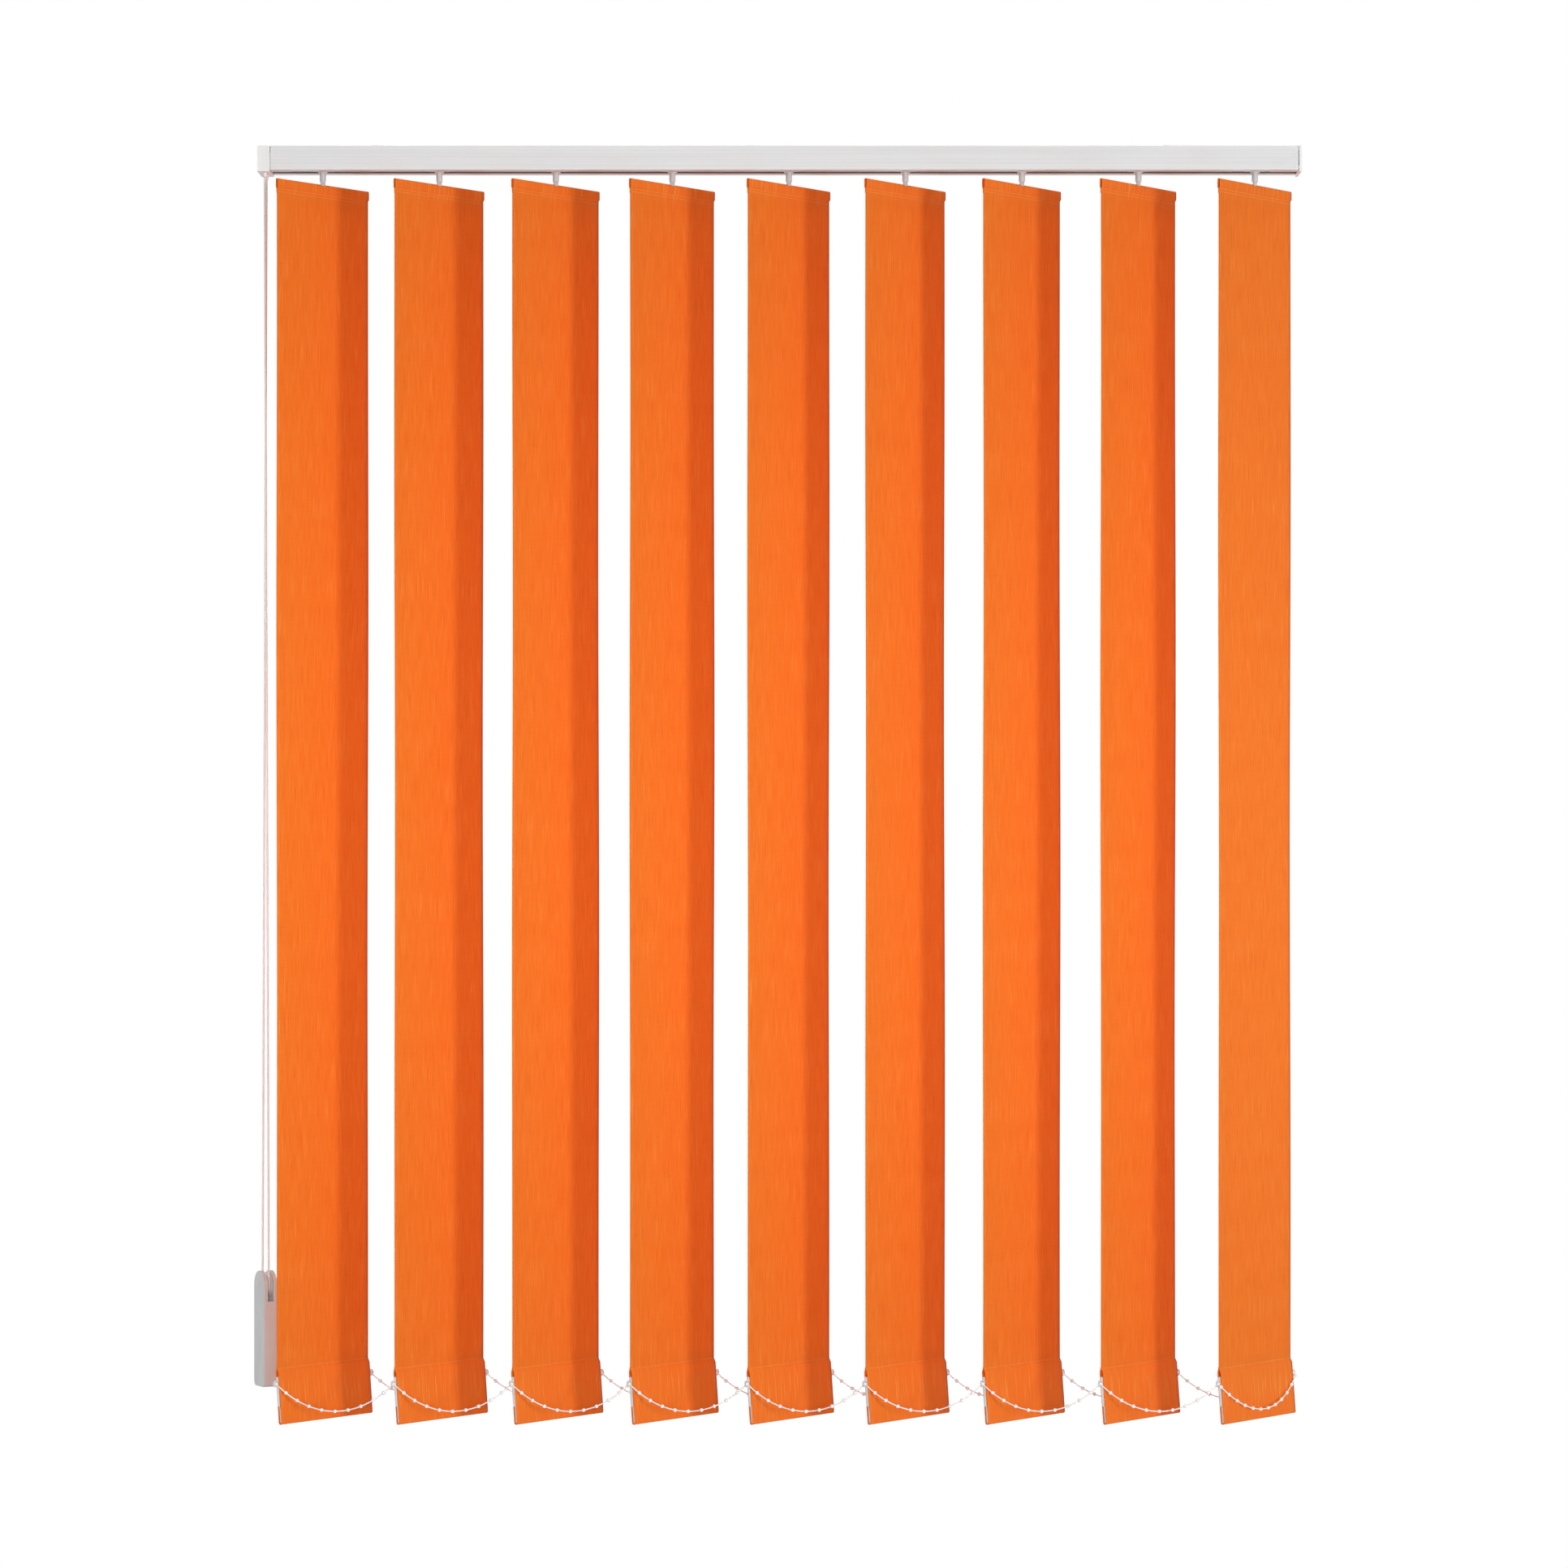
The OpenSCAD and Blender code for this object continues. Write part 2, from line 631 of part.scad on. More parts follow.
module carrier(k) {
    half = carrier_len / 2;
    x = stem_x(k);
    rod_bore = rod_d / 2 + fit_gap;
    fork_x = crown_r - pinion_w / 2 - fit_gap - fork_t;
    fork_bottom = disc_hi + dedendum + crown_rise + run_gap;
    fork_half_y = post_half_y - fork_inset;
    guide_top = base_hi + strip_floor_gap + strip_h + tab_h;
    color("white") {
        difference() {
            union() {
                translate([x, 0, 0]) {
                    box([-half, -carrier_half_y, base_lo], [half, carrier_half_y, base_hi]);
                    translate([0, 0, rail_bottom - collar_drop])
                        cylinder(d = collar_d, h = base_t + rail_wall);
                    for (left = [-half, half - wall_t])
                        box([left, -post_half_y, base_hi - weld], [left + wall_t, post_half_y, bridge_hi]);
                    box([-half, -post_half_y, bridge_lo], [half, post_half_y, bridge_hi]);
                    box([fork_x, -fork_half_y, fork_bottom],
                        [fork_x + fork_t, fork_half_y, bridge_lo + weld]);
                    box([-half, carrier_half_y - guide_wall, base_hi - weld],
                        [half, carrier_half_y, guide_top]);
                }
                if (k > 1) strip_stop(k);
            }
            translate([x, 0, base_lo - 2 * rail_wall - cut])
                cylinder(d = stem_d + 2 * fit_gap, h = base_t + 2 * rail_wall + 2 * cut);
            bar_x(x - half - cut, x + half + cut, 0, rod_z, rod_bore);
        }
        if (k < vane_count) spacer_strip(k);
        if (k == vane_count) cord_jaw(k);
    }
}

module stem(k) {
    bar_half = hanger_len / 2;
    color("lightgray") {
        translate([stem_x(k), 0, 0]) {
            translate([0, 0, disc_lo]) cylinder(r = crown_disc_r, h = disc_t);
            translate([0, 0, disc_hi]) crown_ring();
            translate([0, 0, stem_foot]) cylinder(d = stem_d, h = disc_lo + disc_t / 2 - stem_foot);
        }
        at_vane(k) rotate([90, 0, 0]) linear_extrude(hanger_t, center = true) {
            translate([-blade_w / 2, hanger_bottom]) square([blade_w, blade_top - hanger_bottom]);
            translate([-bar_half, hanger_bottom]) square([hanger_len, hanger_top - hanger_bottom]);
        }
    }
}

// Outline of a folded pocket, from one side of its seam at the origin, round its fold, to the other
function pocket_line(half, height, neck) = concat(
    [[-neck, 0], [-half, -hem_taper]],
    [for (a = [180 : fold_step : 360]) [half * cos(a), half - height + half * sin(a)]],
    [[half, -hem_taper], [neck, 0]]);
function pocket_inside(half, height) =
    [for (p = pocket_line(half - fabric_t, height - seam_w - fabric_t, seam_neck)) p - [0, seam_w]];

// Section of a vane: one strip of fabric, folded back and sewn into a pocket at each end
module vane_section() {
    upper_seam = vane_top - top_hem;
    lower = pocket_line(bottom_half, bottom_hem, fabric_t / 2);
    upper = pocket_line(top_half, top_hem, fabric_t / 2);
    difference() {
        polygon(concat(
            [for (p = lower) [0, seam_z] + turned(p, -hem_lean)],
            [for (i = [len(upper) - 1 : -1 : 0]) [upper[i][0], upper_seam - upper[i][1]]]));
        translate([0, seam_z]) rotate(-hem_lean) polygon(pocket_inside(bottom_half, bottom_hem));
        translate([0, upper_seam]) mirror([0, 1]) polygon(pocket_inside(top_half, top_hem));
    }
}

module vane(k) {
    color("darkorange") at_vane(k) difference() {
        along(-vane_w / 2, vane_w / 2) vane_section();
        box([-slit_w / 2, -hanger_t / 2 - run_gap, vane_top - 2 * top_half],
            [slit_w / 2, hanger_t / 2 + run_gap, vane_top + cut]);
    }
}

module bottom_weight(k) {
    top = weight_base + weight_h;
    tab_half = vane_w / 2 + end_tab_reach;
    color("whitesmoke") at_vane(k) in_hem() rotate([90, 0, 0]) linear_extrude(weight_t, center = true)
        difference() {
            union() {
                translate([-weight_half, weight_base]) square([2 * weight_half, weight_h]);
                translate([-tab_half, top - end_tab_h]) square([2 * tab_half, end_tab_h]);
                for (side = [-1, 1]) translate([side * clip_w, -clip_drop]) circle(clip_ring);
            }
            for (side = [-1, 1]) translate([side * clip_w, -clip_drop]) circle(clip_hole_r);
        }
}

// Place of a vane's chain clip: end is -1 at the front edge and 1 at the back
function clip_at(k, end) = [
    stem_x(k) + end * clip_w * cos(vane_turn) - clip_y * sin(vane_turn),
    end * clip_w * sin(vane_turn) + clip_y * cos(vane_turn),
    clip_z];

module front_chain() {
    color("white") translate(clip_at(1, -1)) beaded_chain(vane_pitch, vane_count - 1, 0);
}

module rear_chain() {
    color("white") translate(clip_at(1, 1)) beaded_chain(vane_pitch, vane_count - 1, 0);
}

module end_chain() {
    color("white") at_vane(vane_count) translate([-clip_w, end_chain_y, clip_z - end_chain_drop])
        beaded_chain(2 * clip_w, 1, chain_bulge);
}

module pull_cord() {
    color("white") translate([exit_x, 0, nub_bottom])
        tube(pull_route, cord_r, [cos(weight_turn), sin(weight_turn), 0]);
}

// Places a child at the weight's axle, with X along the axle
module at_weight() {
    translate([exit_x, 0, weight_axle_z]) rotate([0, 0, weight_turn]) children();
}

module cord_weight() {
    half_w = cord_weight_w / 2;
    half_d = cord_weight_d / 2;
    low = cheek_r - cord_weight_len;
    at_weight() {
        color("gainsboro") difference() {
            along(-half_w, half_w) {
                circle(cheek_r);
                translate([-half_d, low + foot_r]) square([cord_weight_d, -low - foot_r]);
                translate([-half_d + foot_r, low]) square([cord_weight_d - 2 * foot_r, foot_r + weld]);
                for (side = [-1, 1]) translate([side * (half_d - foot_r), low + foot_r]) circle(foot_r);
            }
            box([-cord_slot / 2, -half_d - cut, -slot_depth], [cord_slot / 2, half_d + cut, cheek_r + cut]);
            bar_x(-half_w - cut, half_w + cut, 0, 0, pin_r);
        }
        color("silver") bar_x(-half_w + fit_gap, half_w - fit_gap, 0, 0, pin_r - press_gap);
    }
}

module weight_pulley() {
    color("white") at_weight() rotate([0, 90, 0])
        grooved_pulley(weight_pulley_rim, weight_cord_r - cord_r, weight_pulley_t, pin_r + fit_gap);
}

headrail();
control_end_cap();
idle_end_cap();
ceiling_clips();
end_cap_screws();
tilt_rod();
drive_pulley();
return_pulley();
rail_cord();
pull_cord();
cord_weight();
weight_pulley();
front_chain();
rear_chain();
end_chain();
for (k = [1 : vane_count]) carrier(k);
for (k = [1 : vane_count]) pinion(k);
for (k = [1 : vane_count]) stem(k);
for (k = [1 : vane_count]) vane(k);
for (k = [1 : vane_count]) bottom_weight(k);
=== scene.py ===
"""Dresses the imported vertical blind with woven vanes, beaded chains, a braided cord and moulded fittings."""
import logging
import math
from dataclasses import dataclass, field
from enum import Enum

import bpy
import numpy as np
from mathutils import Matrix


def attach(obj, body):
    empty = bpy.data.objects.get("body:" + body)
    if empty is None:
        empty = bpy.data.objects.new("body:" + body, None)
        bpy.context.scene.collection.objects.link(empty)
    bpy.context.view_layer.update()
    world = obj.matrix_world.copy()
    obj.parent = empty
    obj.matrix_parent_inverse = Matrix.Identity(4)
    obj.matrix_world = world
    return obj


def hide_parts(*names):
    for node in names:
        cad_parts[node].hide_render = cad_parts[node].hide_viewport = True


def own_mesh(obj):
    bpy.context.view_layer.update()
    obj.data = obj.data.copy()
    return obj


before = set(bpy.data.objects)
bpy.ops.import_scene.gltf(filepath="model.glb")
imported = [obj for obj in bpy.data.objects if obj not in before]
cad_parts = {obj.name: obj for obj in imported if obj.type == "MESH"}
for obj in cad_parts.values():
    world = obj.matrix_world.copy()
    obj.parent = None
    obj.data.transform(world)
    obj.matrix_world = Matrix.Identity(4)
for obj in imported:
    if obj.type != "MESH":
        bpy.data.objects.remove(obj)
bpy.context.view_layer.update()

LOG = logging.getLogger("vertical_blind")
VANE_COUNT = 9
WHITE = (1.0, 1.0, 1.0)
# Places of the colour sockets on a Mix node
MIX_FIRST = 6
MIX_SECOND = 7
MIX_RESULT = 2
# Rounding of the solids' sharp edges
EDGE_SEGMENTS = 2
EDGE_ANGLE = 50.0
# Direction that no cord or chain runs along
ASKEW = (0.31, 0.95, 0.0)
Colour = tuple[float, float, float]
Point = tuple[float, float, float]
Range = tuple[float, float]
Socket = bpy.types.NodeSocket


class Slot(Enum):
    """Material slots of the record that the added pieces belong to."""

    CORD = "white_cord"
    CHAIN = "chain_plastic"
    FABRIC = "vane_fabric"


class Edge(Enum):
    """Edge of the vanes that a bottom chain hangs along, as its side of the vane."""

    FRONT = -1
    REAR = 1


class NodeBench:
    """Lays out the nodes of one shader tree."""

    def __init__(self, tree: bpy.types.NodeTree) -> None:
        """Starts on a tree.

        Args:
            tree: Node tree of a material or a world.
        """
        self.tree = tree

    def add(self, kind: str, **settings: object) -> bpy.types.Node:
        """Adds one node.

        Args:
            kind: Node type without its ShaderNode prefix.
            settings: Attributes to set on the node.

        Returns:
            The new node.
        """
        node = self.tree.nodes.new("ShaderNode" + kind)
        for name, value in settings.items():
            setattr(node, name, value)
        return node

    def feed(self, socket: Socket, value: Socket | float | Colour) -> None:
        """Links an output to an input, or sets the input's own value.

        Args:
            socket: Input socket.
            value: Output socket, number or colour.
        """
        if isinstance(value, bpy.types.NodeSocket):
            self.tree.links.new(value, socket)
        elif isinstance(value, tuple) and len(socket.default_value) == 4:
            socket.default_value = (*value, 1.0)
        else:
            socket.default_value = value

    def parts(self, vector: Socket) -> tuple[Socket, Socket, Socket]:
        """Splits a vector.

        Args:
            vector: Vector to split.

        Returns:
            Its three numbers.
        """
        node = self.add("SeparateXYZ")
        self.feed(node.inputs[0], vector)
        return node.outputs["X"], node.outputs["Y"], node.outputs["Z"]

    def stretch(self, vector: Socket, scale: Point) -> Socket:
        """Scales coordinates along each axis.

        Args:
            vector: Coordinates to scale.
            scale: Factor along each axis, in cells per metre.

        Returns:
            The scaled coordinates.
        """
        node = self.add("Mapping")
        self.feed(node.inputs["Vector"], vector)
        self.feed(node.inputs["Scale"], scale)
        return node.outputs["Vector"]

    def noise(self, vector: Socket, grain: Point, detail: float = 2.0) -> Socket:
        """Gives soft noise with its own grain along each axis.

        Args:
            vector: Coordinates, in metres.
            grain: Cells per metre along each axis.
            detail: Octaves of finer noise.

        Returns:
            A number from 0 to 1.
        """
        node = self.add("TexNoise")
        self.feed(node.inputs["Vector"], self.stretch(vector, grain))
        self.feed(node.inputs["Scale"], 1.0)
        self.feed(node.inputs["Detail"], detail)
        return node.outputs["Fac"]

    def math(self, kind: str, a: Socket | float, b: Socket | float = 0.0) -> Socket:
        """Joins two numbers.

        Args:
            kind: Name of the operation.
            a: First number.
            b: Second number.

        Returns:
            The result.
        """
        node = self.add("Math", operation=kind)
        self.feed(node.inputs[0], a)
        self.feed(node.inputs[1], b)
        return node.outputs[0]

    def weigh(self, *terms: tuple[Socket, float]) -> Socket:
        """Adds up numbers, each with its weight.

        Args:
            terms: Number and weight of each term.

        Returns:
            The sum.
        """
        total, *others = [self.math("MULTIPLY", number, weight) for number, weight in terms]
        for other in others:
            total = self.math("ADD", total, other)
        return total

    def span(self, value: Socket, low: float, high: float, start: float = 0.0, end: float = 1.0) -> Socket:
        """Carries a number from one span to another, smoothly and clamped.

        Args:
            value: Number to carry over.
            low: Start of its span.
            high: End of its span.
            start: Result at the start.
            end: Result at the end.

        Returns:
            The result.
        """
        node = self.add("MapRange", interpolation_type="SMOOTHSTEP")
        for name, number in (("From Min", low), ("From Max", high), ("To Min", start), ("To Max", end)):
            self.feed(node.inputs[name], number)
        self.feed(node.inputs["Value"], value)
        return node.outputs["Result"]

    def blend(self, share: Socket | float, first: Socket | Colour, second: Socket | Colour) -> Socket:
        """Blends two colours.

        Args:
            share: Share of the second colour.
            first: First colour.
            second: Second colour.

        Returns:
            The blended colour.
        """
        node = self.add("Mix", data_type="RGBA")
        self.feed(node.inputs["Factor"], share)
        self.feed(node.inputs[MIX_FIRST], first)
        self.feed(node.inputs[MIX_SECOND], second)
        return node.outputs[MIX_RESULT]

    def ripple(self, value: Socket, pitch: float, shift: Socket | float = 0.0) -> Socket:
        """Gives a wave along a coordinate.

        Args:
            value: Coordinate, in metres.
            pitch: Length of one wave, in metres.
            shift: Angle to shift the wave by.

        Returns:
            A number from -1 to 1.
        """
        return self.math("SINE", self.math("ADD", self.math("MULTIPLY", value, 2 * math.pi / pitch), shift))

    def seen(self) -> Socket:
        """Tells what the camera sees, also through glass and in gloss, from what only gives light.

        Returns:
            1 on a ray that shows the surface and 0 on others.
        """
        path = self.add("LightPath").outputs
        straight = self.math("MAXIMUM", path["Is Camera Ray"], path["Is Transmission Ray"])
        return self.math("MAXIMUM", straight, path["Is Glossy Ray"])

    def glow(self, kind: str, strength: Socket | float) -> Socket:
        """Makes a white light.

        Args:
            kind: Node type without its ShaderNode prefix.
            strength: Strength of the light.

        Returns:
            The light's shader.
        """
        node = self.add(kind)
        self.feed(node.inputs["Color"], WHITE)
        self.feed(node.inputs["Strength"], strength)
        return node.outputs[0]

    def mix(self, share: Socket | float, first: Socket, second: Socket) -> Socket:
        """Mixes two shaders.

        Args:
            share: Share of the second shader.
            first: First shader.
            second: Second shader.

        Returns:
            The mixed shader.
        """
        node = self.add("MixShader")
        for socket, value in zip(node.inputs, (share, first, second)):
            self.feed(socket, value)
        return node.outputs[0]


class FinishBench(NodeBench):
    """Lays out the nodes of one material round its Principled shader."""

    def __init__(self, name: str) -> None:
        """Starts a material.

        Args:
            name: Name of the material.
        """
        self.material = bpy.data.materials.new(name)
        self.material.use_nodes = True
        super().__init__(self.material.node_tree)
        self.shader = self.tree.nodes["Principled BSDF"]

    def fix(self, **values: Socket | float | Colour) -> None:
        """Sets or links the shader's sockets.

        Args:
            values: Socket names, with _ for a space, and their values.
        """
        for name, value in values.items():
            self.feed(self.shader.inputs[name.replace("_", " ")], value)

    def uv(self, layer: str) -> Socket:
        """Gives the coordinates of one UV map."""
        return self.add("UVMap", uv_map=layer).outputs["UV"]

    def place(self) -> Socket:
        """Gives the place in the object's own frame, in metres."""
        return self.add("TexCoord").outputs["Object"]

    def bump(self, height: Socket, distance: float, strength: float = 1.0) -> None:
        """Raises the surface by a height map.

        Args:
            height: Height from 0 to 1.
            distance: Rise at full height, in metres.
            strength: Share of the bump to show.
        """
        node = self.add("Bump")
        self.feed(node.inputs["Height"], height)
        self.feed(node.inputs["Distance"], distance)
        self.feed(node.inputs["Strength"], strength)
        self.feed(self.shader.inputs["Normal"], node.outputs["Normal"])

    def cover(self, share: Socket | float, other: Socket) -> None:
        """Mixes a second shader over the first.

        Args:
            share: Share of the second shader.
            other: The second shader.
        """
        mixed = self.mix(share, self.shader.outputs[0], other)
        self.feed(self.tree.nodes["Material Output"].inputs["Surface"], mixed)


@dataclass(frozen=True)
class SlubWeave:
    """Woven finish of the vanes: plain weave with slubs along the warp.

    A grain is in noise cells per metre, across the cloth and along it.
    """

    name: str = "orange_slub_weave"
    ground: Colour = (0.94, 0.262, 0.022)
    slub: Colour = (1.0, 0.425, 0.090)
    hollow: Colour = (0.85, 0.175, 0.012)
    deep: Colour = (0.90, 0.168, 0.012)
    nap: Colour = (1.0, 0.62, 0.38)
    thread_pitch: float = 0.0006
    weft_ease: float = 1.15
    thread_rise: float = 0.00012
    wander: float = 5.0
    wander_grain: Point = (90.0, 12.0, 1.0)
    yarn_grain: Point = (2300.0, 36.0, 1.0)
    yarn_share: float = 0.88
    pick_grain: Point = (24.0, 1500.0, 1.0)
    pick_share: float = 0.12
    shade_range: Range = (0.30, 0.62)
    slub_grain: Point = (980.0, 26.0, 1.0)
    slub_range: Range = (0.56, 0.72)
    slub_share: float = 0.48
    long_slub_grain: Point = (330.0, 5.0, 1.0)
    long_slub_range: Range = (0.52, 0.78)
    long_slub_share: float = 0.16
    cloud_grain: Point = (14.0, 5.0, 1.0)
    cloud_range: Range = (0.35, 0.70)
    cloud_share: float = 0.06
    face_streak: float = 0.8
    hem_streak: float = 0.15
    hem_depth: float = 0.80
    sheer: float = 0.30
    hem_sheer: float = 0.06
    roughness: Range = (0.86, 0.72)

    def make(self) -> bpy.types.Material:
        """Builds the material.

        Returns:
            The woven material.
        """
        bench = FinishBench(self.name)
        cloth = bench.uv("cloth")
        across, along, _ = bench.parts(cloth)
        hem, _, _ = bench.parts(bench.uv("hem"))
        wander = bench.math("MULTIPLY", bench.noise(cloth, self.wander_grain), self.wander)
        warp = bench.ripple(across, self.thread_pitch, wander)
        weft = bench.ripple(along, self.thread_pitch * self.weft_ease)
        weave = bench.math("MULTIPLY", warp, weft)
        yarn = bench.noise(cloth, self.yarn_grain, 3.0)
        slubs = bench.span(bench.noise(cloth, self.slub_grain, 1.0), *self.slub_range)
        long_slubs = bench.span(bench.noise(cloth, self.long_slub_grain), *self.long_slub_range)
        picks = bench.noise(cloth, self.pick_grain)
        clouds = bench.noise(cloth, self.cloud_grain)
        shade = bench.weigh((yarn, self.yarn_share), (picks, self.pick_share))
        colour = bench.blend(bench.span(shade, *self.shade_range, 1.0, 0.0), self.ground, self.hollow)
        colour = bench.blend(bench.math("MULTIPLY", hem, self.hem_depth), colour, self.deep)
        streak = bench.weigh((slubs, self.slub_share), (long_slubs, self.long_slub_share))
        strength = bench.math("ADD", bench.math("MULTIPLY", hem, self.hem_streak), self.face_streak)
        colour = bench.blend(bench.math("MULTIPLY", streak, strength), colour, self.slub)
        cloudy = bench.span(clouds, *self.cloud_range, self.cloud_share, 0.0)
        colour = bench.blend(cloudy, colour, self.hollow)
        bench.fix(Base_Color=colour, Roughness=bench.span(yarn, 0.3, 0.7, *self.roughness))
        bench.fix(Specular_IOR_Level=0.22, Sheen_Weight=0.12, Sheen_Roughness=0.45, Sheen_Tint=self.nap)
        bench.bump(bench.weigh((weave, 0.30), (slubs, 0.7), (yarn, 0.5)), self.thread_rise, 0.75)
        through = bench.add("BsdfTranslucent")
        bench.feed(through.inputs["Color"], colour)
        bench.cover(bench.span(hem, 0.0, 1.0, self.sheer, self.hem_sheer), through.outputs[0])
        return bench.material


@dataclass(frozen=True)
class SewnThread:
    """Finish of the seams' twisted thread."""

    name: str = "orange_sewing_thread"
    ground: Colour = (0.98, 0.390, 0.095)
    # Colour of the painted shade between the thread's plies.
    dark: Colour = (0.90, 0.270, 0.045)
    twist_pitch: float = 0.0007
    fuzz_grain: Point = (3000.0, 3000.0, 3000.0)
    fuzz_rise: float = 0.00006

    def make(self) -> bpy.types.Material:
        """Builds the material.

        Returns:
            The thread's material.
        """
        bench = FinishBench(self.name)
        place = bench.place()
        x, y, z = bench.parts(place)
        twist = bench.ripple(bench.math("ADD", bench.math("ADD", x, y), z), self.twist_pitch)
        # Painted shade: stripes along the twist darken towards the dark colour where the plies meet.
        colour = bench.blend(bench.span(twist, -1.0, 1.0), self.dark, self.ground)
        bench.fix(Base_Color=colour, Roughness=0.62, Specular_IOR_Level=0.3)
        bench.bump(bench.noise(place, self.fuzz_grain), self.fuzz_rise)
        return bench.material


@dataclass(frozen=True)
class SatinPaint:
    """Painted finish of the extruded headrail, with painted shade in its grooves, and painted shade, a
    near-black colour, inside it and along its slot.
    """

    name: str = "white_satin_paint"
    ground: Colour = (0.755, 0.757, 0.760)
    dull: Colour = (0.665, 0.665, 0.662)
    # Grey that the grooves are darkened towards: painted shade.
    dust_and_groove_shade: Colour = (0.42, 0.42, 0.42)
    # Near-black colour inside the rail and on the slot's faces: painted shade.
    painted_inner_shade: Colour = (0.075, 0.075, 0.078)
    roughness: float = 0.40
    line_grain: Point = (2.5, 850.0, 850.0)
    line_range: Range = (0.40, 0.70)
    line_share: float = 0.55
    wear_grain: Point = (16.0, 60.0, 60.0)
    wear_range: Range = (0.55, 0.80)
    wear_share: float = 0.25
    peel_grain: Point = (1300.0, 1300.0, 1300.0)
    rise: float = 0.00006
    dust_and_groove_shade_share: float = 0.08
    inner_half: float = 0.01875
    inner_floor: float = -0.02325
    inner_roof: float = -0.0017
    slot_half: float = 0.00705
    slot_roof: float = -0.020
    groove_floor: float = 0.01993

    def make(self) -> bpy.types.Material:
        """Builds the material.

        Returns:
            The paint's material.
        """
        bench = FinishBench(self.name)
        place = bench.place()
        lines = bench.noise(place, self.line_grain, 3.0)
        wear = bench.noise(place, self.wear_grain, 3.0)
        peel = bench.noise(place, self.peel_grain)
        lined = bench.span(lines, *self.line_range, 0.0, self.line_share)
        colour = bench.blend(lined, self.ground, self.dull)
        worn = bench.span(wear, *self.wear_range, 0.0, self.wear_share)
        colour = bench.blend(worn, colour, self.dull)
        _, y, z = bench.parts(place)
        depth = bench.math("ABSOLUTE", y)
        wall = bench.math("GREATER_THAN", depth, self.inner_half)
        above = bench.math("GREATER_THAN", z, self.inner_floor)
        # Painted shade: the grooves' floors and walls are darkened towards grey, where shade falls.
        groove_shade = bench.math("MULTIPLY", wall, bench.math("LESS_THAN", depth, self.groove_floor))
        groove_shade = bench.math("MULTIPLY", groove_shade, above)
        colour = bench.blend(bench.math("MULTIPLY", groove_shade, self.dust_and_groove_shade_share), colour, self.dust_and_groove_shade)
        # Painted shade: near-black inside the rail and along the slot, where shade falls.
        inside = bench.math("MULTIPLY", above, bench.math("SUBTRACT", 1.0, wall))
        inside = bench.math("MULTIPLY", inside, bench.math("LESS_THAN", z, self.inner_roof))
        below = bench.math("LESS_THAN", z, self.slot_roof)
        slot = bench.math("MULTIPLY", below, bench.math("LESS_THAN", depth, self.slot_half))
        colour = bench.blend(bench.math("MAXIMUM", inside, slot), colour, self.painted_inner_shade)
        bench.fix(Base_Color=colour, Specular_IOR_Level=0.45)
        bench.fix(Roughness=bench.span(wear, 0.3, 0.7, self.roughness - 0.06, self.roughness + 0.10))
        bench.bump(bench.weigh((lines, 0.8), (peel, 0.2)), self.rise, 0.8)
        return bench.material


@dataclass(frozen=True)
class MouldedPlastic:
    """Injection-moulded plastic with a fine sparked texture."""

    name: str
    ground: Colour
    dull: Colour
    roughness: float = 0.45
    glow: float = 0.0
    grain: float = 1400.0
    rise: float = 0.00004
    glow_depth: float = 0.004
    flow_grain: Point = (60.0, 60.0, 22.0)
    flow_range: Range = (0.35, 0.70)
    flow_share: float = 0.55
    dust_grain: Point = (240.0, 240.0, 240.0)
    dust_range: Range = (0.58, 0.78)
    dust_share: float = 0.35

    def make(self) -> bpy.types.Material:
        """Builds the material.

        Returns:
            The plastic's material.
        """
        bench = FinishBench(self.name)
        place = bench.place()
        sparked = bench.noise(place, (self.grain,) * 3)
        flow = bench.noise(place, self.flow_grain, 3.0)
        dust_and_groove_shade = bench.noise(place, self.dust_grain, 4.0)
        streaky = bench.span(flow, *self.flow_range, 0.0, self.flow_share)
        colour = bench.blend(streaky, self.ground, self.dull)
        dust_and_groove_shade_share = bench.span(dust_and_groove_shade, *self.dust_range, 0.0, self.dust_share)
        colour = bench.blend(dust_and_groove_shade_share, colour, self.dull)
        bench.fix(Base_Color=colour, Specular_IOR_Level=0.45, Subsurface_Weight=self.glow)
        bench.fix(Subsurface_Radius=(self.glow_depth,) * 3, Subsurface_Scale=0.6)
        bench.fix(Roughness=bench.span(sparked, 0.3, 0.7, self.roughness - 0.07, self.roughness + 0.09))
        bench.bump(sparked, self.rise, 0.7)
        return bench.material


@dataclass(frozen=True)
class DrawnMetal:
    """Bare metal with drawing lines along one axis."""

    name: str
    ground: Colour
    dark: Colour
    roughness: float = 0.32
    line_grain: Point = (8.0, 1600.0, 1600.0)
    line_rise: float = 0.00003
    bloom_grain: Point = (180.0, 180.0, 180.0)
    bloom_range: Range = (0.35, 0.75)
    bloom_share: float = 0.5

    def make(self) -> bpy.types.Material:
        """Builds the material.

        Returns:
            The metal's material.
        """
        bench = FinishBench(self.name)
        place = bench.place()
        drawn = bench.noise(place, self.line_grain, 3.0)
        bloom = bench.noise(place, self.bloom_grain, 4.0)
        bloomed = bench.span(bloom, *self.bloom_range, 0.0, self.bloom_share)
        colour = bench.blend(bloomed, self.ground, self.dark)
        bench.fix(Base_Color=colour, Metallic=1.0)
        bench.fix(Roughness=bench.span(drawn, 0.25, 0.75, self.roughness - 0.08, self.roughness + 0.12))
        bench.bump(drawn, self.line_rise, 0.6)
        return bench.material


